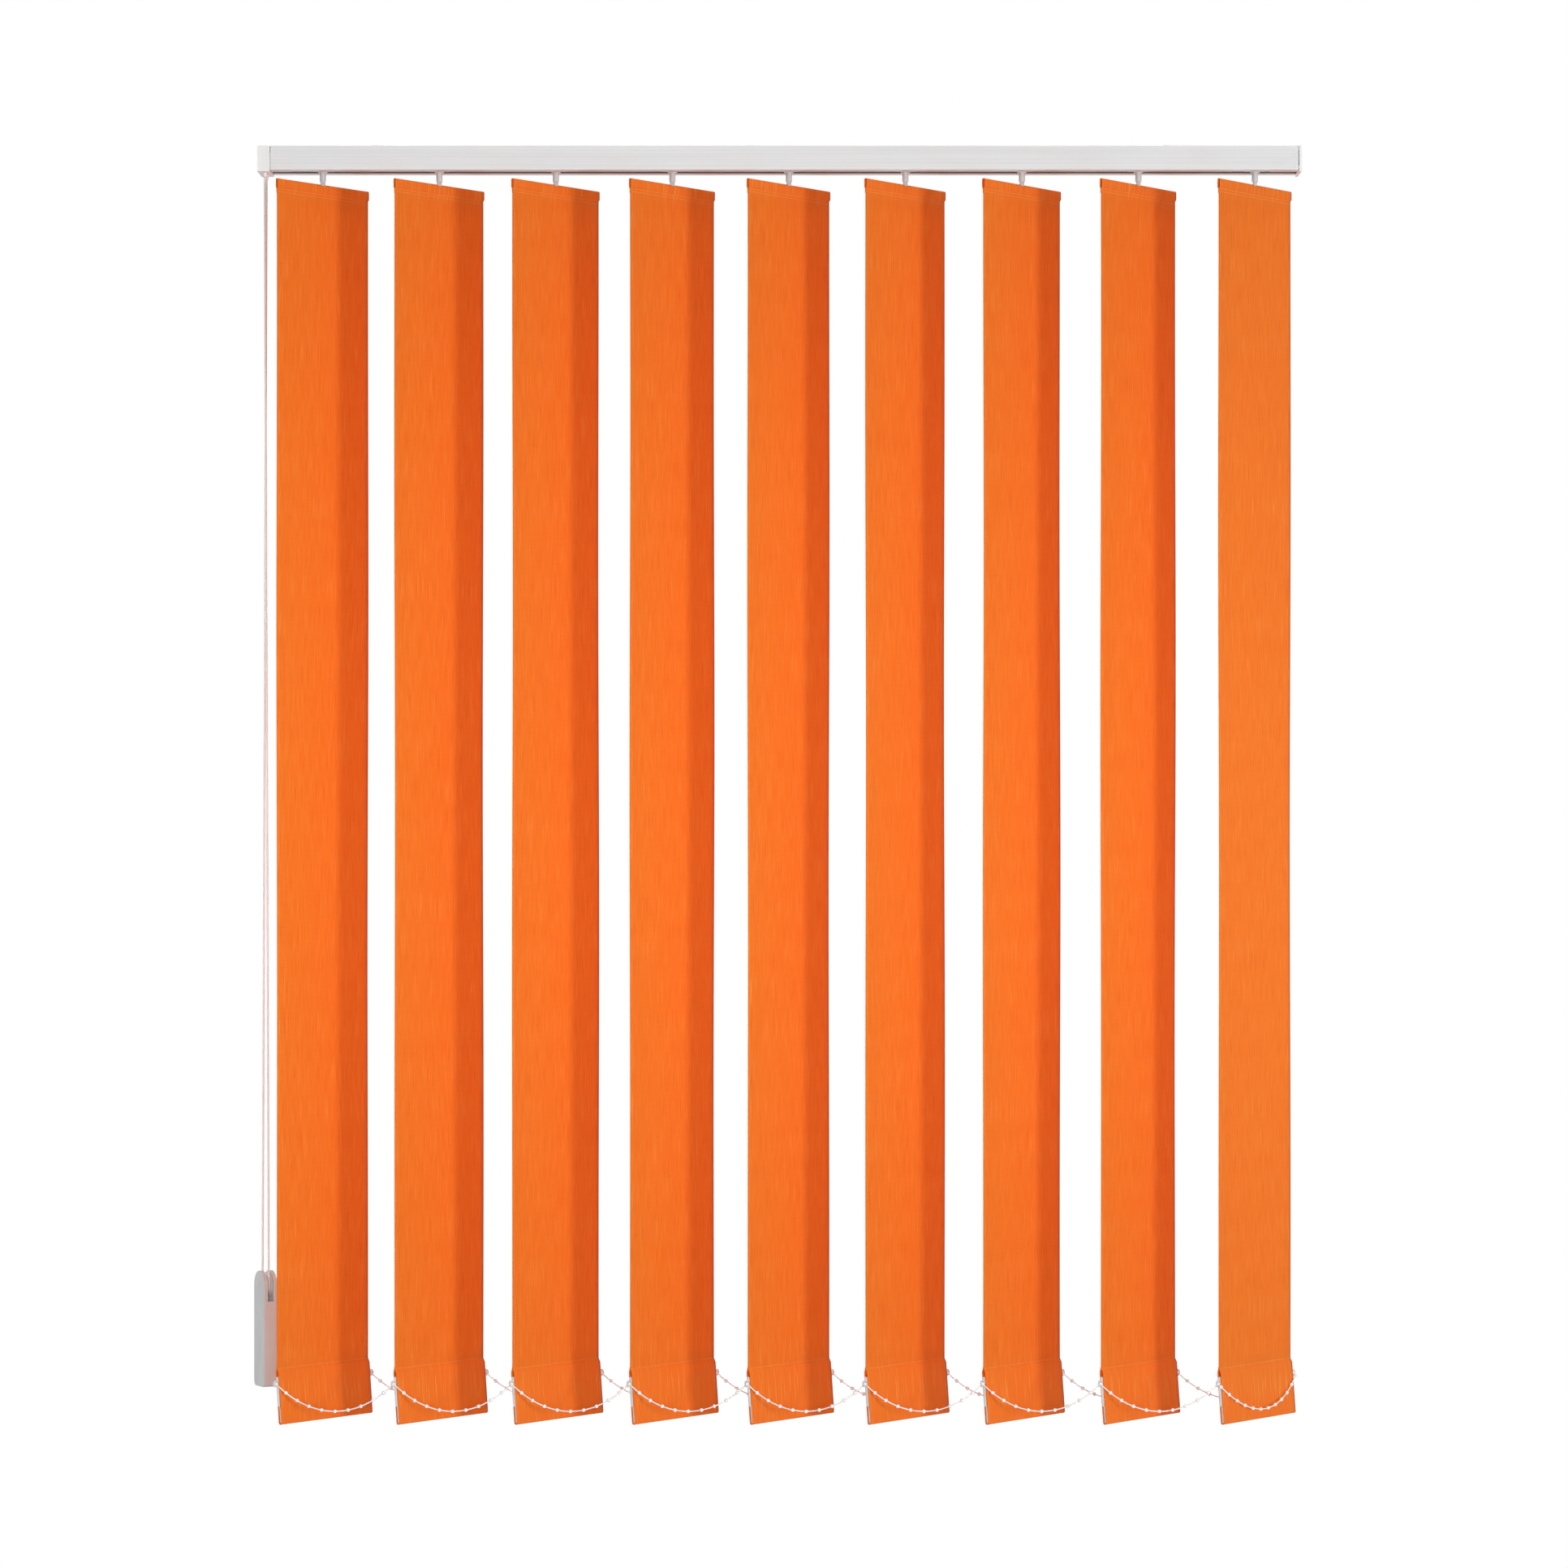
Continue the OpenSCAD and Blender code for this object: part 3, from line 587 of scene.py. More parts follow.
@dataclass(frozen=True)
class BraidedCord:
    """Braided polyester cord, with its plies crossing at a slant."""

    name: str = "white_braided_cord"
    ground: Colour = (0.93, 0.93, 0.92)
    # Colour of the braid's valleys, as painted shade, and of the random fuzz.
    valley_shade_and_fuzz: Colour = (0.80, 0.80, 0.79)
    lay: float = 0.0044
    plies: int = 4
    ply_rise: float = 0.00015
    ply_range: Range = (-0.4, 0.9)
    fuzz_grain: Point = (9.0, 2600.0, 1.0)
    fuzz_range: Range = (0.5, 0.8)
    fuzz_share: float = 0.3
    roughness: Range = (0.62, 0.80)

    def make(self) -> bpy.types.Material:
        """Builds the material.

        Returns:
            The cord's material.
        """
        bench = FinishBench(self.name)
        surface = bench.uv("cord")
        around, along, _ = bench.parts(surface)
        turn = bench.math("MULTIPLY", around, 2 * math.pi * self.plies)
        left = bench.ripple(along, self.lay, turn)
        right = bench.ripple(along, -self.lay, turn)
        braid = bench.math("MAXIMUM", left, right)
        fuzz = bench.noise(surface, self.fuzz_grain)
        # Painted shade: the braid's low places, which the bump also sinks, darken towards the valley colour.
        colour = bench.blend(bench.span(braid, *self.ply_range), self.valley_shade_and_fuzz, self.ground)
        colour = bench.blend(bench.span(fuzz, *self.fuzz_range, 0.0, self.fuzz_share), colour, self.valley_shade_and_fuzz)
        bench.fix(Base_Color=colour, Specular_IOR_Level=0.25, Sheen_Weight=0.1)
        bench.fix(Roughness=bench.span(fuzz, 0.3, 0.7, *self.roughness))
        bench.bump(braid, self.ply_rise, 0.9)
        return bench.material


@dataclass(frozen=True)
class PaleFloor:
    """Matt finish of the floor, which fades to white at its rim."""

    radius: float
    name: str = "pale_floor"
    ground: Colour = (0.86, 0.86, 0.86)
    light: Colour = (0.89, 0.89, 0.885)
    grain: Point = (9.0, 9.0, 9.0)
    fade_start: float = 0.45
    fade_end: float = 0.97

    def make(self) -> bpy.types.Material:
        """Builds the material.

        Returns:
            The floor's material.
        """
        bench = FinishBench(self.name)
        place = bench.place()
        x, y, _ = bench.parts(place)
        square = bench.math("ADD", bench.math("MULTIPLY", x, x), bench.math("MULTIPLY", y, y))
        reach = bench.math("SQRT", square)
        mottle = bench.span(bench.noise(place, self.grain, 4.0), 0.3, 0.7)
        bench.fix(Base_Color=bench.blend(mottle, self.ground, self.light))
        bench.fix(Roughness=0.7, Specular_IOR_Level=0.2)
        rim = bench.span(reach, self.fade_start * self.radius, self.fade_end * self.radius)
        bench.cover(bench.math("MULTIPLY", rim, bench.seen()), bench.glow("Emission", 1.0))
        return bench.material


@dataclass(frozen=True)
class Finishes:
    """Every finish of the blind, built once."""

    weave: bpy.types.Material = field(default_factory=SlubWeave().make)
    thread: bpy.types.Material = field(default_factory=SewnThread().make)
    paint: bpy.types.Material = field(default_factory=SatinPaint().make)
    cord: bpy.types.Material = field(default_factory=BraidedCord().make)
    cap: bpy.types.Material = field(default_factory=MouldedPlastic(
        "white_cap_plastic", (0.86, 0.86, 0.86), (0.79, 0.79, 0.785), 0.42).make)
    gear: bpy.types.Material = field(default_factory=MouldedPlastic(
        "natural_gear_plastic", (0.74, 0.74, 0.72), (0.64, 0.64, 0.61), 0.40).make)
    stem: bpy.types.Material = field(default_factory=MouldedPlastic(
        "smoky_stem_plastic", (0.60, 0.61, 0.61), (0.47, 0.48, 0.48), 0.30, 0.25).make)
    grip: bpy.types.Material = field(default_factory=MouldedPlastic(
        "grey_grip_plastic", (0.66, 0.66, 0.66), (0.58, 0.58, 0.58), 0.40).make)
    bead: bpy.types.Material = field(default_factory=MouldedPlastic(
        "white_bead_plastic", (0.92, 0.91, 0.90), (0.83, 0.82, 0.80), 0.28, 0.1, 900.0).make)
    bar: bpy.types.Material = field(default_factory=MouldedPlastic(
        "coated_weight_bar", (0.78, 0.77, 0.75), (0.64, 0.62, 0.59), 0.50).make)
    steel: bpy.types.Material = field(default_factory=DrawnMetal(
        "zinc_plated_steel", (0.62, 0.62, 0.63), (0.44, 0.45, 0.47), 0.34, (300.0, 300.0, 300.0)).make)
    rod: bpy.types.Material = field(default_factory=DrawnMetal(
        "drawn_aluminium", (0.72, 0.72, 0.73), (0.58, 0.58, 0.60)).make)


class MeshDraft:
    """Gathers the points and faces of one piece before it becomes an object."""

    def __init__(self, layers: tuple[str, ...] = ()) -> None:
        """Starts an empty draft.

        Args:
            layers: Names of the UV maps that each point has a place in.
        """
        self.points: list[Point] = []
        self.faces: list[tuple[int, ...]] = []
        self.layers = {name: [] for name in layers}

    def point(self, place: Point, **places: tuple[float, float]) -> int:
        """Adds a point.

        Args:
            place: Place in the part's frame, in metres.
            places: Place of the point in each UV map.

        Returns:
            The point's index.
        """
        self.points.append(tuple(float(v) for v in place))
        for name, where in places.items():
            self.layers[name].append(where)
        return len(self.points) - 1

    def ring(self, centre: np.ndarray, side: np.ndarray, up: np.ndarray, radius: float,
             count: int) -> list[int]:
        """Adds a ring of points.

        Args:
            centre: Middle of the ring.
            side: First direction in its plane.
            up: Second direction in its plane.
            radius: Radius of the ring.
            count: Number of points.

        Returns:
            The points' indices.
        """
        turns = [2 * math.pi * i / count for i in range(count)]
        return [self.point(centre + radius * (math.cos(t) * side + math.sin(t) * up)) for t in turns]

    def band(self, low: list[int], high: list[int], closed: bool = True) -> None:
        """Joins two rows of points with faces.

        Args:
            low: First row.
            high: Second row.
            closed: Whether the rows run round.
        """
        count = len(low)
        for i in range(count if closed else count - 1):
            j = (i + 1) % count
            self.faces.append((low[i], low[j], high[j], high[i]))

    def lathe(self, centre: np.ndarray, axis: np.ndarray, profile: list[Range], count: int) -> None:
        """Adds a closed round form.

        Args:
            centre: Middle of the form.
            axis: Direction that it turns about.
            profile: Place along the axis and radius of each ring; the first and last are points.
            count: Points in a ring.
        """
        axis = axis / np.linalg.norm(axis)
        side = np.cross(axis, (0.0, 1.0, 0.0) if abs(axis[1]) < 0.9 else (1.0, 0.0, 0.0))
        side = side / np.linalg.norm(side)
        up = np.cross(axis, side)
        first = self.point(centre + profile[0][0] * axis)
        last = self.point(centre + profile[-1][0] * axis)
        rows = [self.ring(centre + place * axis, side, up, radius, count) for place, radius in profile[1:-1]]
        for low, high in zip(rows, rows[1:]):
            self.band(low, high)
        for i in range(count):
            j = (i + 1) % count
            self.faces.append((first, rows[0][j], rows[0][i]))
            self.faces.append((last, rows[-1][i], rows[-1][j]))

    def tube(self, path: list[np.ndarray], radius: float, count: int, layer: str = "") -> None:
        """Adds a closed tube along a path.

        Args:
            path: Middle of each ring.
            radius: Radius of the tube.
            count: Sides of the tube.
            layer: UV map to give places round and along the tube in, if any.
        """
        line = np.array(path)
        heads = np.gradient(line, axis=0)
        heads = heads / np.linalg.norm(heads, axis=1)[:, None]
        side = np.cross(heads[0], ASKEW)
        length = 0.0
        rows = []
        for i, (centre, head) in enumerate(zip(line, heads)):
            length += float(np.linalg.norm(centre - line[i - 1])) if i else 0.0
            side = side - (side @ head) * head
            side = side / np.linalg.norm(side)
            up = np.cross(head, side)
            row = []
            for j in range(count + (1 if layer else 0)):
                t = 2 * math.pi * j / count
                place = centre + radius * (math.cos(t) * side + math.sin(t) * up)
                row.append(self.point(place, **({layer: (j / count, length)} if layer else {})))
            rows.append(row)
        for low, high in zip(rows, rows[1:]):
            self.band(low, high, closed=not layer)
        self.faces.append(tuple(reversed(rows[0][:count])))
        self.faces.append(tuple(rows[-1][:count]))

    def build(self, name: str, material: bpy.types.Material, body: str, slot: Slot) -> bpy.types.Object:
        """Makes the object, dresses it and sets it on its body.

        Args:
            name: Name of the piece.
            material: Finish of the piece.
            body: Body that carries it.
            slot: Slot of the record that the finish belongs to; it is not used.

        Returns:
            The piece.
        """
        mesh = bpy.data.meshes.new(name)
        mesh.from_pydata(self.points, [], self.faces)
        for layer, places in self.layers.items():
            corners = mesh.uv_layers.new(name=layer).data
            order = np.zeros(len(mesh.loops), dtype=np.int32)
            mesh.loops.foreach_get("vertex_index", order)
            corners.foreach_set("uv", np.array(places, dtype=np.float32)[order].ravel())
        mesh.validate()
        mesh.polygons.foreach_set("use_smooth", [True] * len(mesh.polygons))
        mesh.materials.append(material)
        piece = bpy.data.objects.new(name, mesh)
        bpy.context.scene.collection.objects.link(piece)
        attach(piece, body)
        LOG.info("%s: %d faces on body %s", name, len(mesh.polygons), body)
        return piece


def dress(node: str, material: bpy.types.Material, rounding: float = 0.0) -> bpy.types.Object:
    """Gives a CAD node its finish, with its sharp edges rounded.

    Args:
        node: Name of the node.
        material: Finish of the node.
        rounding: Radius on its sharp edges, in metres.

    Returns:
        The node's object.
    """
    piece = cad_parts[node]
    piece.data.materials.clear()
    piece.data.materials.append(material)
    if rounding > 0:
        edge = piece.modifiers.new("rounded_edges", "BEVEL")
        edge.width = rounding
        edge.segments = EDGE_SEGMENTS
        edge.limit_method = "ANGLE"
        edge.angle_limit = math.radians(EDGE_ANGLE)
        edge.harden_normals = False
    LOG.info("%s: dressed as %s", node, material.name)
    return piece


@dataclass
class PhotoCamera:
    """Level camera in front of the blind."""

    distance: float = 4.8
    side: float = 0.0043
    height: float = -0.6662
    lens_mm: float = 114.63
    sensor_mm: float = 36.0
    shift: float = 0.0357
    reach: float = 60.0

    def build(self) -> bpy.types.Object:
        """Makes the scene's camera.

        Returns:
            The camera.
        """
        data = bpy.data.cameras.new("photo_camera")
        data.sensor_width = self.sensor_mm
        data.lens = self.lens_mm
        data.shift_y = self.shift
        data.clip_end = self.reach
        camera = bpy.data.objects.new("photo_camera", data)
        camera.location = (self.side, -self.distance, self.height)
        camera.rotation_euler = (math.pi / 2, 0.0, 0.0)
        bpy.context.scene.collection.objects.link(camera)
        bpy.context.scene.camera = camera
        return camera


@dataclass(frozen=True)
class Softbox:
    """Soft lamp that stands level with the point it is aimed at."""

    name: str
    turn: float
    distance: float
    width: float
    height: float
    power: float
    spread: float
    aim: Point

    def build(self) -> bpy.types.Object:
        """Makes the lamp.

        Returns:
            The lamp.
        """
        data = bpy.data.lights.new(self.name, "AREA")
        data.shape = "RECTANGLE"
        data.size = self.width
        data.size_y = self.height
        data.energy = self.power
        data.spread = math.radians(self.spread)
        turn = math.radians(self.turn)
        lamp = bpy.data.objects.new(self.name, data)
        lamp.location = (self.aim[0] + self.distance * math.sin(turn),
                         self.aim[1] - self.distance * math.cos(turn), self.aim[2])
        lamp.rotation_euler = (math.pi / 2, 0.0, turn)
        bpy.context.scene.collection.objects.link(lamp)
        return lamp


@dataclass
class Studio:
    """Soft white studio: lamps at the right, in front and behind, pale surroundings and a pale floor."""

    key: Softbox = Softbox("key_lamp", 40.0, 8.0, 1.1, 1.6, 11.5, 40.0, (-0.05, 0.0, -0.62))
    front: Softbox = Softbox("front_lamp", 0.0, 5.4, 3.2, 0.4, 6.0, 24.0, (0.0, 0.0, -0.66))
    back: Softbox = Softbox("back_lamp", 208.0, 8.0, 1.45, 1.6, 11.5, 40.0, (0.05, 0.0, -0.62))
    sky: float = 0.52
    ground: float = 0.42
    horizon: Range = (-0.8, 0.6)
    floor_z: float = -2.4
    floor_radius: float = 3.4
    floor_sides: int = 96

    def build(self) -> None:
        """Makes the lamps, the world and the floor."""
        bpy.context.scene.view_settings.view_transform = "Standard"
        self.key.build()
        self.front.build()
        self.back.build()
        self.surround()
        self.floor()

    def surround(self) -> bpy.types.World:
        """Makes the world: white to the camera, softly graded as light.

        Returns:
            The world.
        """
        world = bpy.data.worlds.new("studio_surround")
        world.use_nodes = True
        world.node_tree.nodes.clear()
        bench = NodeBench(world.node_tree)
        _, _, rise = bench.parts(bench.add("TexCoord").outputs["Generated"])
        soft = bench.glow("Background", bench.span(rise, *self.horizon, self.ground, self.sky))
        mixed = bench.mix(bench.seen(), soft, bench.glow("Background", 1.0))
        bench.feed(bench.add("OutputWorld").inputs["Surface"], mixed)
        bpy.context.scene.world = world
        return world

    def floor(self) -> bpy.types.Object:
        """Makes the pale round floor far below.

        Returns:
            The floor.
        """
        turns = [2 * math.pi * i / self.floor_sides for i in range(self.floor_sides)]
        radius = self.floor_radius
        rim = [(radius * math.cos(t), radius * math.sin(t), self.floor_z) for t in turns]
        mesh = bpy.data.meshes.new("floor")
        mesh.from_pydata(rim, [], [tuple(range(self.floor_sides))])
        mesh.materials.append(PaleFloor(radius).make())
        floor = bpy.data.objects.new("floor", mesh)
        bpy.context.scene.collection.objects.link(floor)
        return floor


@dataclass
class PullCord:
    """Loop of braided cord that hangs from the control cap, with its weight and pulley."""

    finishes: Finishes
    exit_x: float = -0.494
    exit_z: float = -0.030
    diameter: float = 0.002
    wheel_drop: float = 1.064
    wheel_radius: float = 0.0085
    wheel_steps: int = 24
    ring_gap: float = 0.0012
    sides: int = 10
    weight_rounding: float = 0.0008
    strand: tuple[Point, ...] = (
        (0.0, -0.0085, 0.0), (0.0005, -0.0084, -0.150), (0.0011, -0.0082, -0.300),
        (0.0016, -0.0081, -0.450), (0.0022, -0.0080, -0.600), (0.0027, -0.0079, -0.750),
        (0.0032, -0.0077, -0.900), (0.0038, -0.0076, -1.064))

    def route(self) -> list[np.ndarray]:
        """Lays the cord's line from its front exit, round the weight's wheel, to its rear exit.

        Returns:
            The ring centres, in metres.
        """
        origin = np.array((self.exit_x, 0.0, self.exit_z))
        down: list[np.ndarray] = []
        for start, end in zip(self.strand, self.strand[1:]):
            a, b = np.array(start), np.array(end)
            steps = max(1, round(float(np.linalg.norm(b - a)) / self.ring_gap))
            down += [a + (b - a) * i / steps for i in range(steps)]
        last = np.array(self.strand[-1])
        flat = np.array((last[0], last[1], 0.0))
        flat = flat / np.linalg.norm(flat)
        half: list[np.ndarray] = []
        for i in range(self.wheel_steps + 1):
            t = math.pi * i / self.wheel_steps
            half.append(self.wheel_radius * (math.cos(t) * flat - math.sin(t) * np.array((0.0, 0.0, 1.0)))
                        - np.array((0.0, 0.0, self.wheel_drop)))
        back = [np.array((-p[0], -p[1], p[2])) for p in reversed(down)]
        return [origin + p for p in down + half + back]

    def build(self) -> bpy.types.Object:
        """Makes the cord and dresses the weight on it.

        Returns:
            The cord.
        """
        weight = dress("cord_weight", self.finishes.grip, self.weight_rounding)
        wheel = dress("weight_pulley", self.finishes.gear)
        line = self.route()
        draft = MeshDraft(("cord",))
        draft.tube(line, self.diameter / 2, self.sides, "cord")
        piece = draft.build("braided_pull_cord", self.finishes.cord, "pull_cord", Slot.CORD)
        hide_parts("pull_cord")
        return piece


@dataclass
class Headrail:
    """Extruded headrail with its end caps, clips and screws."""

    finishes: Finishes
    rail_rounding: float = 0.0003
    cap_rounding: float = 0.0007

    def dress(self) -> None:
        """Gives the headrail's fixed pieces their finishes."""
        dress("headrail", self.finishes.paint, self.rail_rounding)
        dress("control_end_cap", self.finishes.cap, self.cap_rounding)
        dress("idle_end_cap", self.finishes.cap, self.cap_rounding)
        dress("ceiling_clips", self.finishes.steel, self.rail_rounding)
        dress("end_cap_screws", self.finishes.steel, self.rail_rounding)


@dataclass
class CordDrive:
    """Tilt rod, pulleys, carriers, stems and the cord's run inside the headrail."""

    finishes: Finishes

    def dress(self) -> None:
        """Gives the drive's pieces their finishes."""
        dress("tilt_rod", self.finishes.rod)
        dress("drive_pulley", self.finishes.gear)
        dress("return_pulley", self.finishes.gear)
        dress("rail_cord", self.finishes.cap)
        for k in range(1, VANE_COUNT + 1):
            dress(f"carrier_{k}", self.finishes.gear)
            dress(f"pinion_{k}", self.finishes.gear)
            dress(f"stem_{k}", self.finishes.stem)


@dataclass
class Vane:
    """One hanging vane: a strip of cloth with a sewn pocket at each end."""

    number: int
    finishes: Finishes
    # Place along the headrail, and turn in degrees
    first_x: float = -0.439
    pitch: float = 0.112
    turn: float = 52.0
    # Strip, with its hems' heights and the lower hem's lean in degrees
    width: float = 0.127
    top: float = -0.0365
    top_hem: float = 0.0125
    seam_z: float = -1.1695
    bottom_hem: float = 0.053
    lean: float = 4.8
    # Cloth's thickness, half of each pocket's thickness, and the flap behind each seam
    cloth: float = 0.00045
    top_half: float = 0.00135
    bottom_half: float = 0.00175
    flap: float = 0.0015
    flap_step: float = 1.15
    seam_hem: float = 0.6
    # How the pockets swell from their seams, with the share of their half in front and behind
    top_taper: float = 0.0016
    top_swell: Range = (0.55, 0.7)
    bottom_swell: Range = (0.5, 0.65)
    swell_drop: float = 0.0015
    full_drop: float = 0.0036
    # Folds, with the stem's slit in the upper one
    fold_gap: float = 0.001
    fold_step: int = 15
    fold_open: float = 0.25
    slit: float = 0.003
    # Rows and columns of points, and the vanes' distance on the bolt of cloth
    face_rows: int = 84
    half_columns: int = 13
    bolt_step: float = 0.2
    # Ripple of the hanging cloth
    ripple: float = 0.0005
    ripple_phase: float = 1.7
    ripple_twist: float = 9.0
    ripple_roll: float = 5.0
    ripple_cross: float = 40.0
    roll_share: float = 0.6
    # Seams and their stitches
    seam_gap: float = 0.0028
    stitch_gap: float = 0.003
    stitch_len: float = 0.0027
    stitch_r: float = 0.00026
    stitch_proud: float = 0.3
    stitch_flat: float = 0.7
    stitch_sides: int = 5

    @property
    def x(self) -> float:
        """Place of the vane's stem along the headrail."""
        return self.first_x + (self.number - 1) * self.pitch

    @property
    def behind(self) -> float:
        """Distance of a hem's flap behind the vane's face."""
        return self.cloth * self.flap_step

    def place(self, across: float, out: float, z: float) -> Point:
        """Turns a place on the vane into the part's frame.

        Args:
            across: Distance from the stem along the vane.
            out: Distance behind the vane's face.
            z: Height.

        Returns:
            The place in the part's frame.
        """
        c, s = math.cos(math.radians(self.turn)), math.sin(math.radians(self.turn))
        return (self.x + across * c - out * s, across * s + out * c, z)

    def hem_place(self, out: float, rise: float) -> tuple[float, float]:
        """Leans a place in the bottom pocket about its seam.

        Args:
            out: Distance behind the pocket's middle.
            rise: Height above the seam.

        Returns:
            Distance behind the vane's face, and height.
        """
        c, s = math.cos(math.radians(self.lean)), math.sin(math.radians(self.lean))
        return (out * c + rise * s, self.seam_z - out * s + rise * c)

    def fold(self, half: float, middle: float, start: int) -> list[Point]:
        """Bends the strip through half a turn.

        Args:
            half: Radius of the bend.
            middle: Height of its middle.
            start: Angle that it starts at, in degrees.

        Returns:
            Distance behind the pocket's middle, height, and 1 for a hem, at each point.
        """
        angles = [math.radians(a) for a in range(start, start + 181, self.fold_step)]
        return [(half * math.cos(a), middle + half * math.sin(a), 1.0) for a in angles]

    def top_pocket(self) -> list[Point]:
        """Draws the top pocket, from its flap behind the vane, over the fold, to its seam.

        Returns:
            Distance behind the vane's face, height, and how far the point is in the hem.
        """
        seam = self.top - self.top_hem
        half = self.top_half
        fold = self.top - half - self.cloth / 2
        close = seam + self.seam_gap
        wide = close + self.top_taper
        swell = (close + wide) / 2
        front, back = self.top_swell
        line = [(self.behind, seam - self.flap, 1.0), (self.behind, seam, 1.0), (self.behind, close, 1.0),
                (back * half, swell, 1.0), (half, wide, 1.0), (half, fold - self.fold_gap, 1.0)]
        line += self.fold(half, fold, 0)
        line += [(-half, fold - self.fold_gap, 1.0), (-half, wide, 1.0), (-front * half, swell, 1.0),
                 (0.0, close, 1.0), (0.0, seam, self.seam_hem)]
        return line

    def bottom_pocket(self) -> list[Point]:
        """Draws the bottom pocket, from its seam, under the fold, to its flap behind the vane.

        Returns:
            Distance behind the pocket's middle, height above its seam, and how far the point is in the hem.
        """
        half = self.bottom_half
        low = half + self.cloth / 2 - self.bottom_hem
        front, back = self.bottom_swell
        shares = (0.25, 0.5, 0.75)
        line = [(0.0, 0.0, self.seam_hem), (-front * half, -self.swell_drop, 1.0),
                (-half, -self.full_drop, 1.0)]
        line += [(-half, low * share, 1.0) for share in shares]
        line += self.fold(half, low, 180)
        line += [(half, low * share, 1.0) for share in reversed(shares)]
        line += [(half, -self.full_drop, 1.0), (back * half, -self.swell_drop, 1.0),
                 (self.behind, 0.0, 1.0), (self.behind, self.flap, 1.0)]
        return line

    def section(self) -> list[Point]:
        """Draws the strip's middle line, from its upper end behind the top pocket to its lower end.

        Returns:
            Distance behind the vane's face, height, and how far the point is in a hem, from 0 to 1.
        """
        seam = self.top - self.top_hem
        fall = self.seam_z - seam
        face = [(0.0, seam + fall * i / self.face_rows, 0.0) for i in range(1, self.face_rows)]
        pocket = [(*self.hem_place(out, rise), hem) for out, rise, hem in self.bottom_pocket()]
        return self.top_pocket() + face + pocket

    def columns(self) -> np.ndarray:
        """Spaces the columns of points across the vane, with the stem's slit between two of them.

        Returns:
            Distance of each column from the stem.
        """
        half = self.width / 2
        left = np.linspace(-half, -self.slit, self.half_columns)
        return np.concatenate((left, np.linspace(self.slit, half, self.half_columns)))

    def wave(self, across: float, z: float) -> float:
        """Gives the cloth's slight ripple, which dies out at the pockets.

        Args:
            across: Distance from the stem along the vane.
            z: Height.

        Returns:
            Distance behind the flat face.
        """
        share = (self.top - self.top_hem - z) / (self.top - self.top_hem - self.seam_z)
        if not 0.0 < share < 1.0:
            return 0.0
        fade = math.sin(math.pi * share)
        phase = self.ripple_phase * self.number
        twist = math.sin(self.ripple_twist * share + phase) * (across / self.width * 2)
        roll = math.sin(self.ripple_roll * share + self.ripple_cross * across + phase)
        return self.ripple * fade * (twist + self.roll_share * roll)

    def build(self) -> bpy.types.Object:
        """Makes the cloth, its seams and the weight bar in its lower pocket.

        Returns:
            The cloth.
        """
        body = f"vane_{self.number}"
        section = self.section()
        line = np.array([(out, z) for out, z, _ in section])
        hems = [hem for _, _, hem in section]
        heads = np.gradient(line, axis=0)
        heads = heads / np.linalg.norm(heads, axis=1)[:, None]
        normals = np.stack((-heads[:, 1], heads[:, 0]), axis=1)
        lengths = np.concatenate(((0.0,), np.cumsum(np.linalg.norm(np.diff(line, axis=0), axis=1))))
        columns = self.columns()
        draft = MeshDraft(("cloth", "hem"))
        sides = []
        for side in (1, -1):
            grid = []
            for i, (out, z) in enumerate(line + side * normals * self.cloth / 2):
                grid.append([draft.point(self.place(u, out + self.wave(u, z), z),
                                         cloth=(u + self.bolt_step * self.number, lengths[i]),
                                         hem=(hems[i], 0.0))
                             for u in columns])
            sides.append(grid)
        self.faces(draft, sides, line)
        cloth = draft.build(f"vane_cloth_{self.number}", self.finishes.weave, body, Slot.FABRIC)
        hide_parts(f"vane_{self.number}")
        seams = self.stitch(body)
        dress(f"bottom_weight_{self.number}", self.finishes.bar)
        return cloth

    def faces(self, draft: MeshDraft, sides: list[list[list[int]]], line: np.ndarray) -> None:
        """Closes the cloth's two faces and its cut edges, leaving the stem's slit open.

        Args:
            draft: Draft to add the faces to.
            sides: Point indices of each face, by row and column.
            line: The strip's middle line.
        """
        front, back = sides
        rows, count = len(front), len(front[0])
        middle = count // 2 - 1
        fold = self.top - self.top_half - self.cloth / 2

        def solid(i: int, j: int) -> bool:
            """Says whether a cell of the strip holds cloth.

            Args:
                i: Row that the cell starts at.
                j: Column that the cell starts at.

            Returns:
                False past the strip's edges and in the slit.
            """
            if not (0 <= i < rows - 1 and 0 <= j < count - 1):
                return False
            at_fold = min(line[i][1], line[i + 1][1]) > fold + self.fold_open * self.top_half
            return not (j == middle and at_fold)

        def lip(place: tuple[int, int]) -> tuple[int, int]:
            """Gives both faces' points at a row and a column."""
            return front[place[0]][place[1]], back[place[0]][place[1]]

        for i in range(rows - 1):
            for j in range(count - 1):
                if not solid(i, j):
                    continue
                draft.faces.append((front[i][j], front[i][j + 1], front[i + 1][j + 1], front[i + 1][j]))
                draft.faces.append((back[i][j], back[i + 1][j], back[i + 1][j + 1], back[i][j + 1]))
                for (down, right), start, end in (
                        ((-1, 0), (i, j), (i, j + 1)), ((1, 0), (i + 1, j + 1), (i + 1, j)),
                        ((0, -1), (i + 1, j), (i, j)), ((0, 1), (i, j + 1), (i + 1, j + 1))):
                    if not solid(i + down, j + right):
                        draft.faces.append((*lip(start), *reversed(lip(end))))

